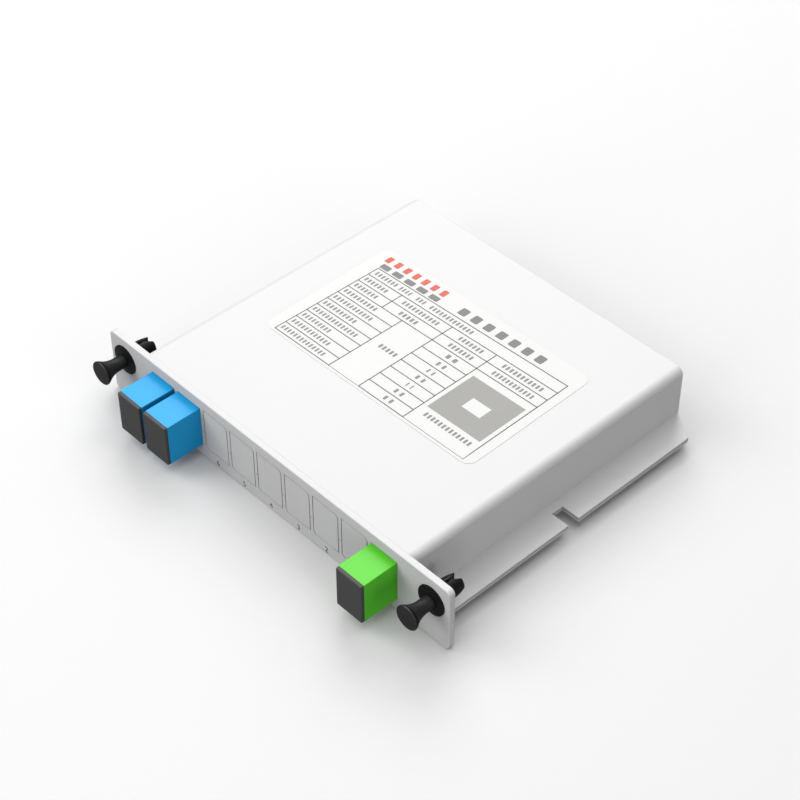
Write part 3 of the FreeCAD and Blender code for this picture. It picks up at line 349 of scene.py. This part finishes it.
def make_seam_group():
    """Level is 0 in the bottom of the parting line and 1 away from it."""
    group, made, link = start_group("parting_line", {}, {"Level": "Float"})
    leave = made.new("NodeGroupOutput")
    place = made.new("ShaderNodeTexCoord")
    axes = made.new("ShaderNodeSeparateXYZ")
    above = made.new("ShaderNodeMath")
    above.operation = "SUBTRACT"
    above.inputs[1].default_value = SEAM_HEIGHT
    away = made.new("ShaderNodeMath")
    away.operation = "ABSOLUTE"
    level = made.new("ShaderNodeMapRange")
    level.inputs["From Max"].default_value = SEAM_HALF
    link(place.outputs["Object"], axes.inputs["Vector"])
    link(axes.outputs["Z"], above.inputs[0])
    link(above.outputs["Value"], away.inputs[0])
    link(away.outputs["Value"], level.inputs["Value"])
    link(level.outputs["Result"], leave.inputs["Level"])
    return group


seam_group = make_seam_group()
print("parting line at", round(SEAM_HEIGHT / MM, 3), "mm")

# %% [markdown]
# ## Moulded plastics
#
# The case, the adapters, the caps and the fasteners are all moulded plastic. They differ in
# colour, gloss and grain. Each could be set up by hand, but one function builds such a finish from
# those values. The shader itself stays in each material, and only its colours, roughness and bump
# come from the groups.

# %% Write the small steps of a finish
def place_group(made, group, values):
    """A node group placed in a material, with its own values."""
    node = made.new("ShaderNodeGroup")
    node.node_tree = group
    for title, value in values.items():
        node.inputs[title].default_value = value
    return node


def spread_value(made, link, factor, low, high):
    """A mask from 0 to 1 turned into a value between low and high."""
    spread = made.new("ShaderNodeMapRange")
    spread.inputs["To Min"].default_value = low
    spread.inputs["To Max"].default_value = high
    link(factor, spread.inputs["Value"])
    return spread.outputs["Result"]


def add_bump(made, link, height, depth, strength=1.0):
    """A Bump node for a height from 0 to 1 over the depth, in millimetres."""
    bump = made.new("ShaderNodeBump")
    bump.inputs["Strength"].default_value = strength
    bump.inputs["Distance"].default_value = depth * MM
    link(height, bump.inputs["Height"])
    return bump


def darken_crevices(made, link, colour, crevice_shade):
    """The colour darkened in the deepest grooves by the given share, as painted shade."""
    crevice = place_group(made, crevice_group, {})
    return blend_colour(made, link, crevice.outputs["Closed"], colour, [1 - crevice_shade] * 3, "MULTIPLY")


def cut_seam(made, link, colour, normal, depth):
    """The colour darkened by painted shade and dust, and the normal bent, in the parting line."""
    level = place_group(made, seam_group, {}).outputs["Level"]
    groove = add_bump(made, link, level, depth)
    link(normal, groove.inputs["Normal"])
    # Painted shade and dust grey the parting line.
    return blend_colour(made, link, level, SEAM_SHADE_AND_DUST, colour), groove.outputs["Normal"]


# %% Write the finish of a moulded plastic
# How far edges go towards white, for wear and a painted highlight.
WEAR_AND_HIGHLIGHT_SHARE = 0.35
SMOOTHER = 0.04
ROUGHER = 0.06


def moulded_plastic(name, colour, gloss, grains=2500.0, depth=0.02, edge_radius=0.2,
                    tone=0.03, wear_and_highlight=0.25, shine=0.5, crevice_shade=0.0, seam=0.0):
    """Moulded plastic: its colour wanders by tone, and its edges are lighter by worn, the share of
    wear and painted highlight.

    Crevices are darker by dusk, which is painted shade. The grain's depth, the edge's radius and
    the depth of a parting line are in millimetres.
    """
    material, made, link, shader = start_material(name)
    shader.inputs["Specular IOR Level"].default_value = shine
    grain = place_group(made, grain_group, {"Grains per metre": grains})
    edge = place_group(made, edge_group, {"Radius": edge_radius * MM})

    darker = [value * (1 - tone) for value in colour]
    lighter = [min(1.0, value * (1 + tone)) for value in colour]
    # Edges are paler for wear and as a painted highlight.
    rubbed_and_highlit = [value + (1 - value) * WEAR_AND_HIGHLIGHT_SHARE * wear_and_highlight for value in colour]
    body = blend_colour(made, link, grain.outputs["Patch"], darker, lighter)
    seen = blend_colour(made, link, edge.outputs["Edge"], body, rubbed_and_highlit)
    # Painted shade darkens the colour in crevices.
    if crevice_shade:
        seen = darken_crevices(made, link, seen, crevice_shade)

    bump = add_bump(made, link, grain.outputs["Height"], depth, strength=0.5)
    link(edge.outputs["Normal"], bump.inputs["Normal"])
    normal = bump.outputs["Normal"]
    if seam:
        seen, normal = cut_seam(made, link, seen, normal, seam)

    roughness = spread_value(made, link, grain.outputs["Patch"], gloss - SMOOTHER, gloss + ROUGHER)
    link(seen, shader.inputs["Base Color"])
    link(roughness, shader.inputs["Roughness"])
    link(normal, shader.inputs["Normal"])
    return material


def dress(material, *names):
    """Gives CAD nodes a material in place of their own."""
    for name in names:
        node = nodes_by_name[name]
        node.data.materials.clear()
        node.data.materials.append(material)
    print(material.name, "on", ", ".join(names))


# %% [markdown]
# The case is moulded in one white with a satin gloss. One material could serve for all of it. But
# only the panel has scored lines, whose shade is painted into their colour, and only the two shells
# meet in a parting line. The shells' thin edges also rub in the chassis, and their colour is
# painted paler for that wear and for a highlight. So the panel and the shells have a finish each.

# %% Dress the case
CASE_WHITE = (0.86, 0.86, 0.865)

# The panel's scored lines are darkened with painted shade.
white_panel = moulded_plastic("white_panel", CASE_WHITE, gloss=0.42, grains=1800.0, depth=0.03,
                              edge_radius=0.18, tone=0.012, wear_and_highlight=0.3, crevice_shade=0.5)
# The shells' edges are painted much paler, as wear and a highlight.
white_shell = moulded_plastic("white_shell", CASE_WHITE, gloss=0.42, grains=1800.0, depth=0.03,
                              edge_radius=0.2, tone=0.012, wear_and_highlight=1.4, seam=0.2)
dress(white_panel, "front_panel")
dress(white_shell, "top_cover", "base_tray")

# %% [markdown]
# The adapters are bright green at the input and bright blue at the outputs, with more gloss than
# the case. The inner connectors' grips are moulded in the same colours. The dust caps are a soft
# charcoal. The fasteners are darker: a satin black knob in a collar that is nearly lost in its
# own shade. The holders inside are plain natural plastic, which is ivory. All blacks could share
# one material, but beside each other on the real object these three tones are easy to tell apart.

# %% Dress the adapters, the caps, the fasteners and the holders
PORTS = ("in", "out_7", "out_8")

green_housing = moulded_plastic("green_housing", (0.135, 0.80, 0.038), gloss=0.34, tone=0.02,
                                edge_radius=0.12, shine=0.4)
blue_housing = moulded_plastic("blue_housing", (0.017, 0.475, 1.0), gloss=0.34, tone=0.02,
                               edge_radius=0.12, shine=0.35)
soft_black = moulded_plastic("soft_black", (0.092, 0.092, 0.094), gloss=0.50, depth=0.03,
                             edge_radius=0.12, wear_and_highlight=0.05, shine=0.4)
knob_black = moulded_plastic("knob_black", (0.026, 0.026, 0.027), gloss=0.40, depth=0.03,
                             edge_radius=0.08, wear_and_highlight=0.04)
leg_black = moulded_plastic("leg_black", (0.010, 0.010, 0.011), gloss=0.40, depth=0.03,
                            edge_radius=0.08, wear_and_highlight=0.03, shine=0.3)
natural_moulding = moulded_plastic("natural_moulding", (0.78, 0.76, 0.70), gloss=0.35)

dress(green_housing, "adapter_in", "grip_in")
dress(blue_housing, "adapter_out_7", "grip_out_7", "adapter_out_8", "grip_out_8")
dress(soft_black, *[f"dust_cap_{port}" for port in PORTS])
dress(knob_black, "plunger_left", "plunger_right")
dress(leg_black, "grommet_left", "grommet_right")
dress(natural_moulding, *[f"{piece}_{port}" for port in PORTS
                          for piece in ("holder_front", "holder_rear", "plug")])

# %% [markdown]
# ## Ceramic, rubber, steel and buffered fibre
#
# The inner pieces are seen only when the case is open or cut. The ferrules and sleeves are
# polished white ceramic, smoother than any plastic here. The boots are dull rubber. Both could
# have shaders of their own, but a moulded finish with other values shows all that they need.

# %% Dress the ceramic and the rubber
polished_ceramic = moulded_plastic("polished_ceramic", (0.86, 0.86, 0.83), gloss=0.12,
                                   grains=6000.0, depth=0.003, edge_radius=0.1, wear_and_highlight=0.0)
dull_rubber = moulded_plastic("dull_rubber", (0.022, 0.022, 0.022), gloss=0.72, grains=3500.0,
                              depth=0.05, wear_and_highlight=0.15)
dress(polished_ceramic, *[f"{piece}_{port}" for port in PORTS for piece in ("sleeve", "ferrule")])
dress(dull_rubber, "module_boot_left", "module_boot_right", *[f"boot_{port}" for port in PORTS])

# %% [markdown]
# The splitter chip sits in a drawn steel tube, whose draw marks run along its length, here along
# X. They could be painted as lines, but noise stretched along that axis gives them at once. The
# screws are zinc plated, with no direction, so they take the same finish with no stretch.

# %% Dress the splitter's tube and the screws
MARK_SHADE = 0.82
MARK_DEPTH = 0.01


def bare_steel(name, colour, gloss, stretch, marks=1500.0):
    """Metal with fine marks, longer along X by the stretch."""
    material, made, link, shader = start_material(name)
    shader.inputs["Metallic"].default_value = 1.0
    place = made.new("ShaderNodeTexCoord")
    squeeze = made.new("ShaderNodeMapping")
    squeeze.inputs["Scale"].default_value = (1 / stretch, 1, 1)
    scratches = made.new("ShaderNodeTexNoise")
    scratches.inputs["Scale"].default_value = marks
    scratches.inputs["Detail"].default_value = 4.0
    link(place.outputs["Object"], squeeze.inputs["Vector"])
    link(squeeze.outputs["Vector"], scratches.inputs["Vector"])
    mark = scratches.outputs["Fac"]
    darker = [value * MARK_SHADE for value in colour]
    link(blend_colour(made, link, mark, darker, colour), shader.inputs["Base Color"])
    link(spread_value(made, link, mark, gloss - 0.08, gloss + 0.1), shader.inputs["Roughness"])
    bump = add_bump(made, link, mark, MARK_DEPTH, strength=0.4)
    link(bump.outputs["Normal"], shader.inputs["Normal"])
    return material


drawn_tube = bare_steel("drawn_tube", (0.60, 0.60, 0.61), gloss=0.32, stretch=30.0)
zinc_plate = bare_steel("zinc_plate", (0.62, 0.62, 0.64), gloss=0.38, stretch=1.0)
dress(drawn_tube, "splitter_module")
dress(zinc_plate, "case_screws")

# %% [markdown]
# The fibres wear a smooth extruded buffer of 0.9 mm in ivory white, glossier than a moulding. Its
# tone changes slowly along the length. A gradient could follow each fibre, but the wide patches
# of the grain group give the same with no unwrapping.

# %% Dress the fibres
buffer_coat = moulded_plastic("buffer_coat", (0.84, 0.81, 0.72), gloss=0.25, grains=900.0,
                              depth=0.01, edge_radius=0.1, tone=0.05, wear_and_highlight=0.0)
dress(buffer_coat, "fibre_in", "fibre_out_7", "fibre_out_8")

# %% [markdown]
# ## The label
#
# The label is a white film with a faint warm tone, laid on the roof and turned by a degree, as
# hand-laid labels are. Its print is ink on the film. An image texture could carry such print.
# Here it is made of a few flat shapes instead: a table of thin lines, rows of small grey blocks,
# and plain fields of colour.

# %% Dress the label film
LABEL_TURN = 1.0
INK_HEIGHT = 0.012 * MM

label_film = moulded_plastic("label_film", (0.93, 0.925, 0.915), gloss=0.55, grains=3200.0,
                             depth=0.012, edge_radius=0.02, tone=0.004, wear_and_highlight=0.0, shine=0.6)
dress(label_film, "label_sheet")

label_low, label_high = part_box("label_sheet")
label_middle = (label_low + label_high) / 2
print("label middle in mm", [round(value / MM, 2) for value in label_middle])

# %% [markdown]
# Ink is thin and matt and never quite even: toner leaves tiny paler specks. Plain colours would do
# from afar, but from near by they look pasted on. So one function gives each ink its colour, and
# the grain group breaks it up.

# %% Mix the inks
INK_GRAINS = 5000.0
FILM_TONE = 0.88


def printed_ink(name, colour, specks):
    """Ink with pale specks where the film shows through."""
    material, made, link, shader = start_material(name)
    grain = place_group(made, grain_group, {"Grains per metre": INK_GRAINS})
    paler = [value + (FILM_TONE - value) * specks for value in colour]
    link(blend_colour(made, link, grain.outputs["Height"], colour, paler),
         shader.inputs["Base Color"])
    link(spread_value(made, link, grain.outputs["Patch"], 0.55, 0.7), shader.inputs["Roughness"])
    return material


line_ink = printed_ink("line_ink", (0.02, 0.02, 0.023), specks=0.08)
word_ink = printed_ink("word_ink", (0.17, 0.17, 0.175), specks=0.4)
title_ink = printed_ink("title_ink", (0.19, 0.19, 0.19), specks=0.25)
orange_ink = printed_ink("orange_ink", (0.80, 0.10, 0.045), specks=0.2)
field_ink = printed_ink("field_ink", (0.33, 0.325, 0.30), specks=0.4)
number_ink = printed_ink("number_ink", (0.03, 0.03, 0.035), specks=0.1)
print("inks:", ", ".join(ink.name for ink in (line_ink, word_ink, title_ink, orange_ink,
                                              field_ink, number_ink)))

# %% [markdown]
# ### The table
#
# The print is laid out square, in millimetres from the label's middle, and then turned onto it.
# The table is one sheet of thin lines. Each line could be a strip of its own, but where strips
# cross they lie in each other. Instead one plane gets a border and is cut at every line, the cuts
# inside merged cells are dissolved, each cell is inset by half a line, and the cells are deleted,
# so a clean net of lines stays. Columns and rows are counted from the table's rear left corner.
# The first row is one cell. The next two are head rows, and the line where their first cells end
# stops there. Below them each row has a measure and a value. One high cell lies between these, and
# another, for the square field, to their right.

# %% Set out the table
TABLE_LEFT = -34.25
TABLE_REAR = 15.7
TABLE_LONG = 70.0
ROW = 3.77
ROWS = 10
HEAD_ROWS = 3
HEADS_END = 13.2
MEASURES_END = 21.0
VALUES_START = 32.3
VALUES_END = 48.6
COLUMNS = (HEADS_END, MEASURES_END, VALUES_START, VALUES_END)
LINE = 0.28


def table_point(across, back):
    """A point of the table, given from its rear left corner, in label millimetres."""
    return TABLE_LEFT + across, TABLE_REAR - back


print("table of", ROWS, "rows,", TABLE_LONG, "by", round(ROWS * ROW, 1), "mm")


# %% Cut the table at every line
def flat_plane(name, left, right, front, rear):
    """A plane between four sides, in label millimetres, with its place in its mesh."""
    bpy.ops.object.select_all(action="DESELECT")
    middle = ((left + right) / 2 * MM, (front + rear) / 2 * MM, 0)
    bpy.ops.mesh.primitive_plane_add(size=1, location=middle)
    plane = bpy.context.active_object
    plane.name = name
    plane.scale = ((right - left) * MM, (rear - front) * MM, 1)
    bpy.ops.object.transform_apply(location=True, rotation=True, scale=True)
    return plane


def cut_table():
    """A plane with half a line's border and a cut at every line of the table."""
    left, rear = table_point(-LINE / 2, -LINE / 2)
    right, front = table_point(TABLE_LONG + LINE / 2, ROWS * ROW + LINE / 2)
    table = flat_plane("label_table", left, right, front, rear)
    bpy.ops.object.mode_set(mode="EDIT")
    bpy.ops.mesh.select_all(action="SELECT")
    bpy.ops.mesh.inset(thickness=LINE / 2 * MM)
    cuts = [(table_point(column, 0)[0] * MM, 0, (1, 0, 0)) for column in COLUMNS]
    cuts += [(0, table_point(0, row * ROW)[1] * MM, (0, 1, 0)) for row in range(1, ROWS)]
    for x, y, across in cuts:
        bpy.ops.mesh.select_all(action="SELECT")
        bpy.ops.mesh.bisect(plane_co=(x, y, 0), plane_no=across)
    bpy.ops.object.mode_set(mode="OBJECT")
    return table


table = cut_table()
print("cut into", len(table.data.polygons), "cells")

# %% Join the merged cells
SAME_PLACE = 0.001


def same(first, second):
    """True for two places that are equal but for rounding, in millimetres."""
    return abs(first - second) < SAME_PLACE


def inside_merged(x, y):
    """True for the middle of a cut that the table doesn't have."""
    across = x / MM - TABLE_LEFT
    row = (TABLE_REAR - y / MM) / ROW
    if any(same(across, column) for column in COLUMNS):
        below_heads = same(across, HEADS_END) and row > HEAD_ROWS
        above_measures = same(across, MEASURES_END) and row < HEAD_ROWS
        return row < 1 or below_heads or above_measures
    before_values = MEASURES_END < across < VALUES_START
    after_values = VALUES_END < across < TABLE_LONG
    return row > HEAD_ROWS + 0.5 and (before_values or after_values)


def select_none(kind):
    """Sets the kind of selection of the active mesh and clears it."""
    bpy.ops.object.mode_set(mode="EDIT")
    bpy.ops.mesh.select_mode(type=kind)
    bpy.ops.mesh.select_all(action="DESELECT")
    bpy.ops.object.mode_set(mode="OBJECT")


select_none("EDGE")
for edge in table.data.edges:
    start, end = (table.data.vertices[index].co for index in edge.vertices)
    edge.select = inside_merged((start.x + end.x) / 2, (start.y + end.y) / 2)
bpy.ops.object.mode_set(mode="EDIT")
bpy.ops.mesh.dissolve_edges()
bpy.ops.object.mode_set(mode="OBJECT")
print("joined to", len(table.data.polygons), "cells")

# %% Keep the lines alone
SMALLEST_CELL = 15.0

select_none("FACE")
for face in table.data.polygons:
    face.select = face.area > SMALLEST_CELL * MM ** 2
bpy.ops.object.mode_set(mode="EDIT")
bpy.ops.mesh.inset(thickness=LINE / 2 * MM, use_individual=True)
bpy.ops.mesh.delete(type="ONLY_FACE")
bpy.ops.object.mode_set(mode="OBJECT")
print("lines of", len(table.data.polygons), "faces")

# %% [markdown]
# The photographed print isn't quite square: the film was pulled through its printer a little
# askew, by up to a millimetre at the rear corners. Turning the print alone would not show that. A
# lattice with one cell, as large as the label, moves the four corners, and a Lattice modifier
# carries every flat print along before it is laid down.

# %% Make the lattice that pulls the print askew
LABEL_HALF = (38.3, 23.1)
CORNER_SHIFTS = {
    # corner of the label: shift across and back, in millimetres
    (-1, -1): (-0.70, -0.08),
    (1, -1): (-0.50, -0.07),
    (-1, 1): (0.97, -0.92),
    (1, 1): (-0.18, 0.97),
}


def make_skew_lattice():
    """A flat lattice over the label with its corners shifted."""
    data = bpy.data.lattices.new("print_skew")
    data.points_u, data.points_v, data.points_w = 2, 2, 1
    data.interpolation_type_u = data.interpolation_type_v = "KEY_LINEAR"
    for point in data.points:
        side = (1 if point.co.x > 0 else -1, 1 if point.co.y > 0 else -1)
        across, back = CORNER_SHIFTS[side]
        point.co_deform = (side[0] / 2 + across / (2 * LABEL_HALF[0]),
                           side[1] / 2 + back / (2 * LABEL_HALF[1]), 0)
    lattice = bpy.data.objects.new("print_skew", data)
    lattice.scale = (2 * LABEL_HALF[0] * MM, 2 * LABEL_HALF[1] * MM, 1)
    bpy.context.scene.collection.objects.link(lattice)
    return lattice


print_skew = make_skew_lattice()
print("lattice with", len(print_skew.data.points), "points")


# %% Lay the table on the label
def place_print(piece, material):
    """Pulls a flat print askew, lays it on the film and gives it the ink's thickness."""
    bpy.ops.object.select_all(action="DESELECT")
    piece.select_set(True)
    bpy.context.view_layer.objects.active = piece
    skew = piece.modifiers.new("skew", "LATTICE")
    skew.object = print_skew
    bpy.ops.object.modifier_apply(modifier=skew.name)
    piece.rotation_euler.z = math.radians(LABEL_TURN)
    piece.location = (label_middle.x, label_middle.y, label_high.z)
    bpy.ops.object.transform_apply(location=True, rotation=True, scale=True)
    thickness = piece.modifiers.new("ink", "SOLIDIFY")
    thickness.thickness = INK_HEIGHT
    thickness.offset = 1
    bpy.ops.object.modifier_apply(modifier=thickness.name)
    piece.data.materials.clear()
    piece.data.materials.append(material)
    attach(piece, "case")
    print(piece.name, "with", len(piece.data.polygons), "faces in", material.name)


place_print(table, line_ink)

# %% [markdown]
# ### Words as blocks
#
# From a step away, a line of small print reads as an even grey band. So each line in the table is
# a row of small blocks with the height, spacing and average grey of such print. The blocks could
# be a striped texture, but as shapes they stay sharp from near by. One block is modelled, its
# corners are rounded, and an Array modifier repeats it along the row. Rows of one ink are joined
# into one piece.

# %% Print the words of the table
WORD = 1.6
WORD_GAP = 0.36
VALUE_GAP = 0.75
CORNER_SHARE = 0.16


def word_row(left, middle, height, count, reach, gap=WORD_GAP):
    """One row of equal blocks over the reach, in label millimetres, gaps as parts of the height."""
    width = (reach - gap * height * (count - 1)) / count
    block = flat_plane("block", left, left + width, middle - height / 2, middle + height / 2)
    bpy.ops.object.mode_set(mode="EDIT")
    bpy.ops.mesh.select_all(action="SELECT")
    bpy.ops.mesh.bevel(offset=CORNER_SHARE * min(width, height) * MM, segments=2,
                       affect="VERTICES")
    bpy.ops.object.mode_set(mode="OBJECT")
    if count > 1:
        repeat = block.modifiers.new("row", "ARRAY")
        repeat.count = count
        repeat.use_relative_offset = False
        repeat.use_constant_offset = True
        repeat.constant_offset_displace = ((width + gap * height) * MM, 0, 0)
        bpy.ops.object.modifier_apply(modifier=repeat.name)
    return block


def join_rows(name, rows, material):
    """Joins rows into one piece of print and lays it on the label."""
    bpy.ops.object.select_all(action="DESELECT")
    for row in rows:
        row.select_set(True)
    bpy.context.view_layer.objects.active = rows[0]
    bpy.ops.object.join()
    piece = bpy.context.active_object
    piece.name = name
    piece.data.name = name
    place_print(piece, material)


def left_word(across, row, count, reach):
    """A row of blocks in a table row, from its left end."""
    left, middle = table_point(across, (row - 0.5) * ROW)
    return word_row(left, middle, WORD, count, reach)


def centred_word(across, row, count, reach, gap=WORD_GAP):
    """A row of blocks in a table row, about its middle."""
    left, middle = table_point(across - reach / 2, (row - 0.5) * ROW)
    return word_row(left, middle, WORD, count, reach, gap)


LEFT_WORDS = [
    # left end, table row, blocks, reach
    (1.2, 1, 7, 8.0), (10.6, 1, 4, 4.0), (17.0, 1, 3, 3.0), (22.2, 1, 13, 15.6),
    (1.0, 2, 7, 8.2), (1.0, 3, 7, 8.2),
    (0.9, 4, 10, 12.0), (0.9, 5, 12, 14.2), (0.9, 6, 10, 12.0), (0.9, 7, 14, 16.4),
    (0.9, 8, 9, 10.2), (0.9, 9, 12, 14.0), (0.9, 10, 14, 16.2),
]
CENTRED_WORDS = [
    # middle, table row, blocks, reach
    (22.2, 2, 11, 13.2), (21.4, 3, 5, 6.4), (41.0, 2, 7, 8.3), (41.0, 3, 7, 8.3),
    (59.6, 2, 11, 13.8), (59.7, 3, 12, 14.0),
]
HIGH_CELL_WORDS = [
    # left end, distance from the table's rear side, blocks, reach
    (24.3, 22.6, 5, 6.1), (51.7, 32.9, 13, 16.0),
]
VALUE_MIDDLE = 41.4
VALUE_REACHES = (3.6, 2.9, 2.3, 2.9, 2.0, 2.9, 2.9)

words = [left_word(*word) for word in LEFT_WORDS]
words += [centred_word(*word) for word in CENTRED_WORDS]
words += [word_row(*table_point(across, back), WORD, count, reach)
          for across, back, count, reach in HIGH_CELL_WORDS]
words += [centred_word(VALUE_MIDDLE, row, 2, reach, VALUE_GAP)
          for row, reach in enumerate(VALUE_REACHES, start=HEAD_ROWS + 1)]
join_rows("label_words", words, word_ink)

# %% [markdown]
# ### The larger blocks and the plain square
#
# A row of larger, darker blocks heads the table. A row of orange blocks over a row of dark ones
# fills the corner at the rear left, and a plain grey square with a bare middle fills the high
# cell at the right. The square could be a frame of four strips, but then its corners would show
# joints. It is one plane, inset once, with its inner face deleted.

# %% Print the larger blocks and the square
FIELD_MIDDLE = (25.1, -6.55)
FIELD_HALF = (9.3, 8.3)
FIELD_BAND = 6.1

title = word_row(left=-5.5, middle=18.5, height=3.0, count=7, reach=30.5, gap=0.66)
heading = word_row(left=-34.6, middle=17.3, height=2.0, count=5, reach=22.1, gap=0.7)
bar = word_row(left=-35.6, middle=20.5, height=2.7, count=7, reach=22.9, gap=0.62)
join_rows("label_title", [title], title_ink)
join_rows("label_heading", [heading], title_ink)
join_rows("label_bar", [bar], orange_ink)

square = flat_plane("label_field",
                    FIELD_MIDDLE[0] - FIELD_HALF[0], FIELD_MIDDLE[0] + FIELD_HALF[0],
                    FIELD_MIDDLE[1] - FIELD_HALF[1], FIELD_MIDDLE[1] + FIELD_HALF[1])
bpy.ops.object.mode_set(mode="EDIT")
bpy.ops.mesh.select_all(action="SELECT")
bpy.ops.mesh.inset(thickness=FIELD_BAND * MM)
bpy.ops.mesh.delete(type="ONLY_FACE")
bpy.ops.object.mode_set(mode="OBJECT")
place_print(square, field_ink)

# %% [markdown]
# ## Port numbers
#
# Small dark numbers stand under the ports, so a technician can find an output. They count the
# positions from the input side. Real ones are pad printed. The figures could be drawn as curves,
# but a text object gives them at once, and it is made a mesh before it is laid on the panel. The
# adapters in the frame give the pitch of the ports.

# %% Print the port numbers
OUTPUTS = 8
NUMBER_HIGH = 1.8 * MM
NUMBER_LOW_EDGE = 0.75 * MM
FIGURE_SHARE = 0.7  # height of a figure over the size of its font


def middle_x(name):
    """The middle of a CAD node across the panel."""
    low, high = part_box(name)
    return (low.x + high.x) / 2


port_pitch = middle_x("adapter_out_7") - middle_x("adapter_out_8")
panel_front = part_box("front_panel")[0].y


def print_number(number):
    """A plain figure on the panel, centred under its port."""
    bpy.ops.object.select_all(action="DESELECT")
    bpy.ops.object.text_add(location=(0, 0, 0))
    figure = bpy.context.active_object
    figure.data.body = str(number)
    figure.data.align_x = "CENTER"
    figure.data.size = NUMBER_HIGH / FIGURE_SHARE
    figure.data.extrude = INK_HEIGHT / 2
    bpy.ops.object.convert(target="MESH")
    figure.rotation_euler.x = math.radians(90)
    figure.location = (middle_x("adapter_in") - number * port_pitch,
                       panel_front - INK_HEIGHT / 2, NUMBER_LOW_EDGE)
    bpy.ops.object.transform_apply(location=True, rotation=True, scale=True)
    figure.data.materials.clear()
    figure.data.materials.append(number_ink)
    return figure


figures = [print_number(number) for number in range(1, OUTPUTS + 1)]
bpy.ops.object.select_all(action="DESELECT")
for figure in figures:
    figure.select_set(True)
bpy.context.view_layer.objects.active = figures[0]
bpy.ops.object.join()
numbers = bpy.context.active_object
numbers.name = "port_numbers"
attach(numbers, "case")
print("numbers every", round(port_pitch / MM, 2), "mm with", len(numbers.data.polygons), "faces")
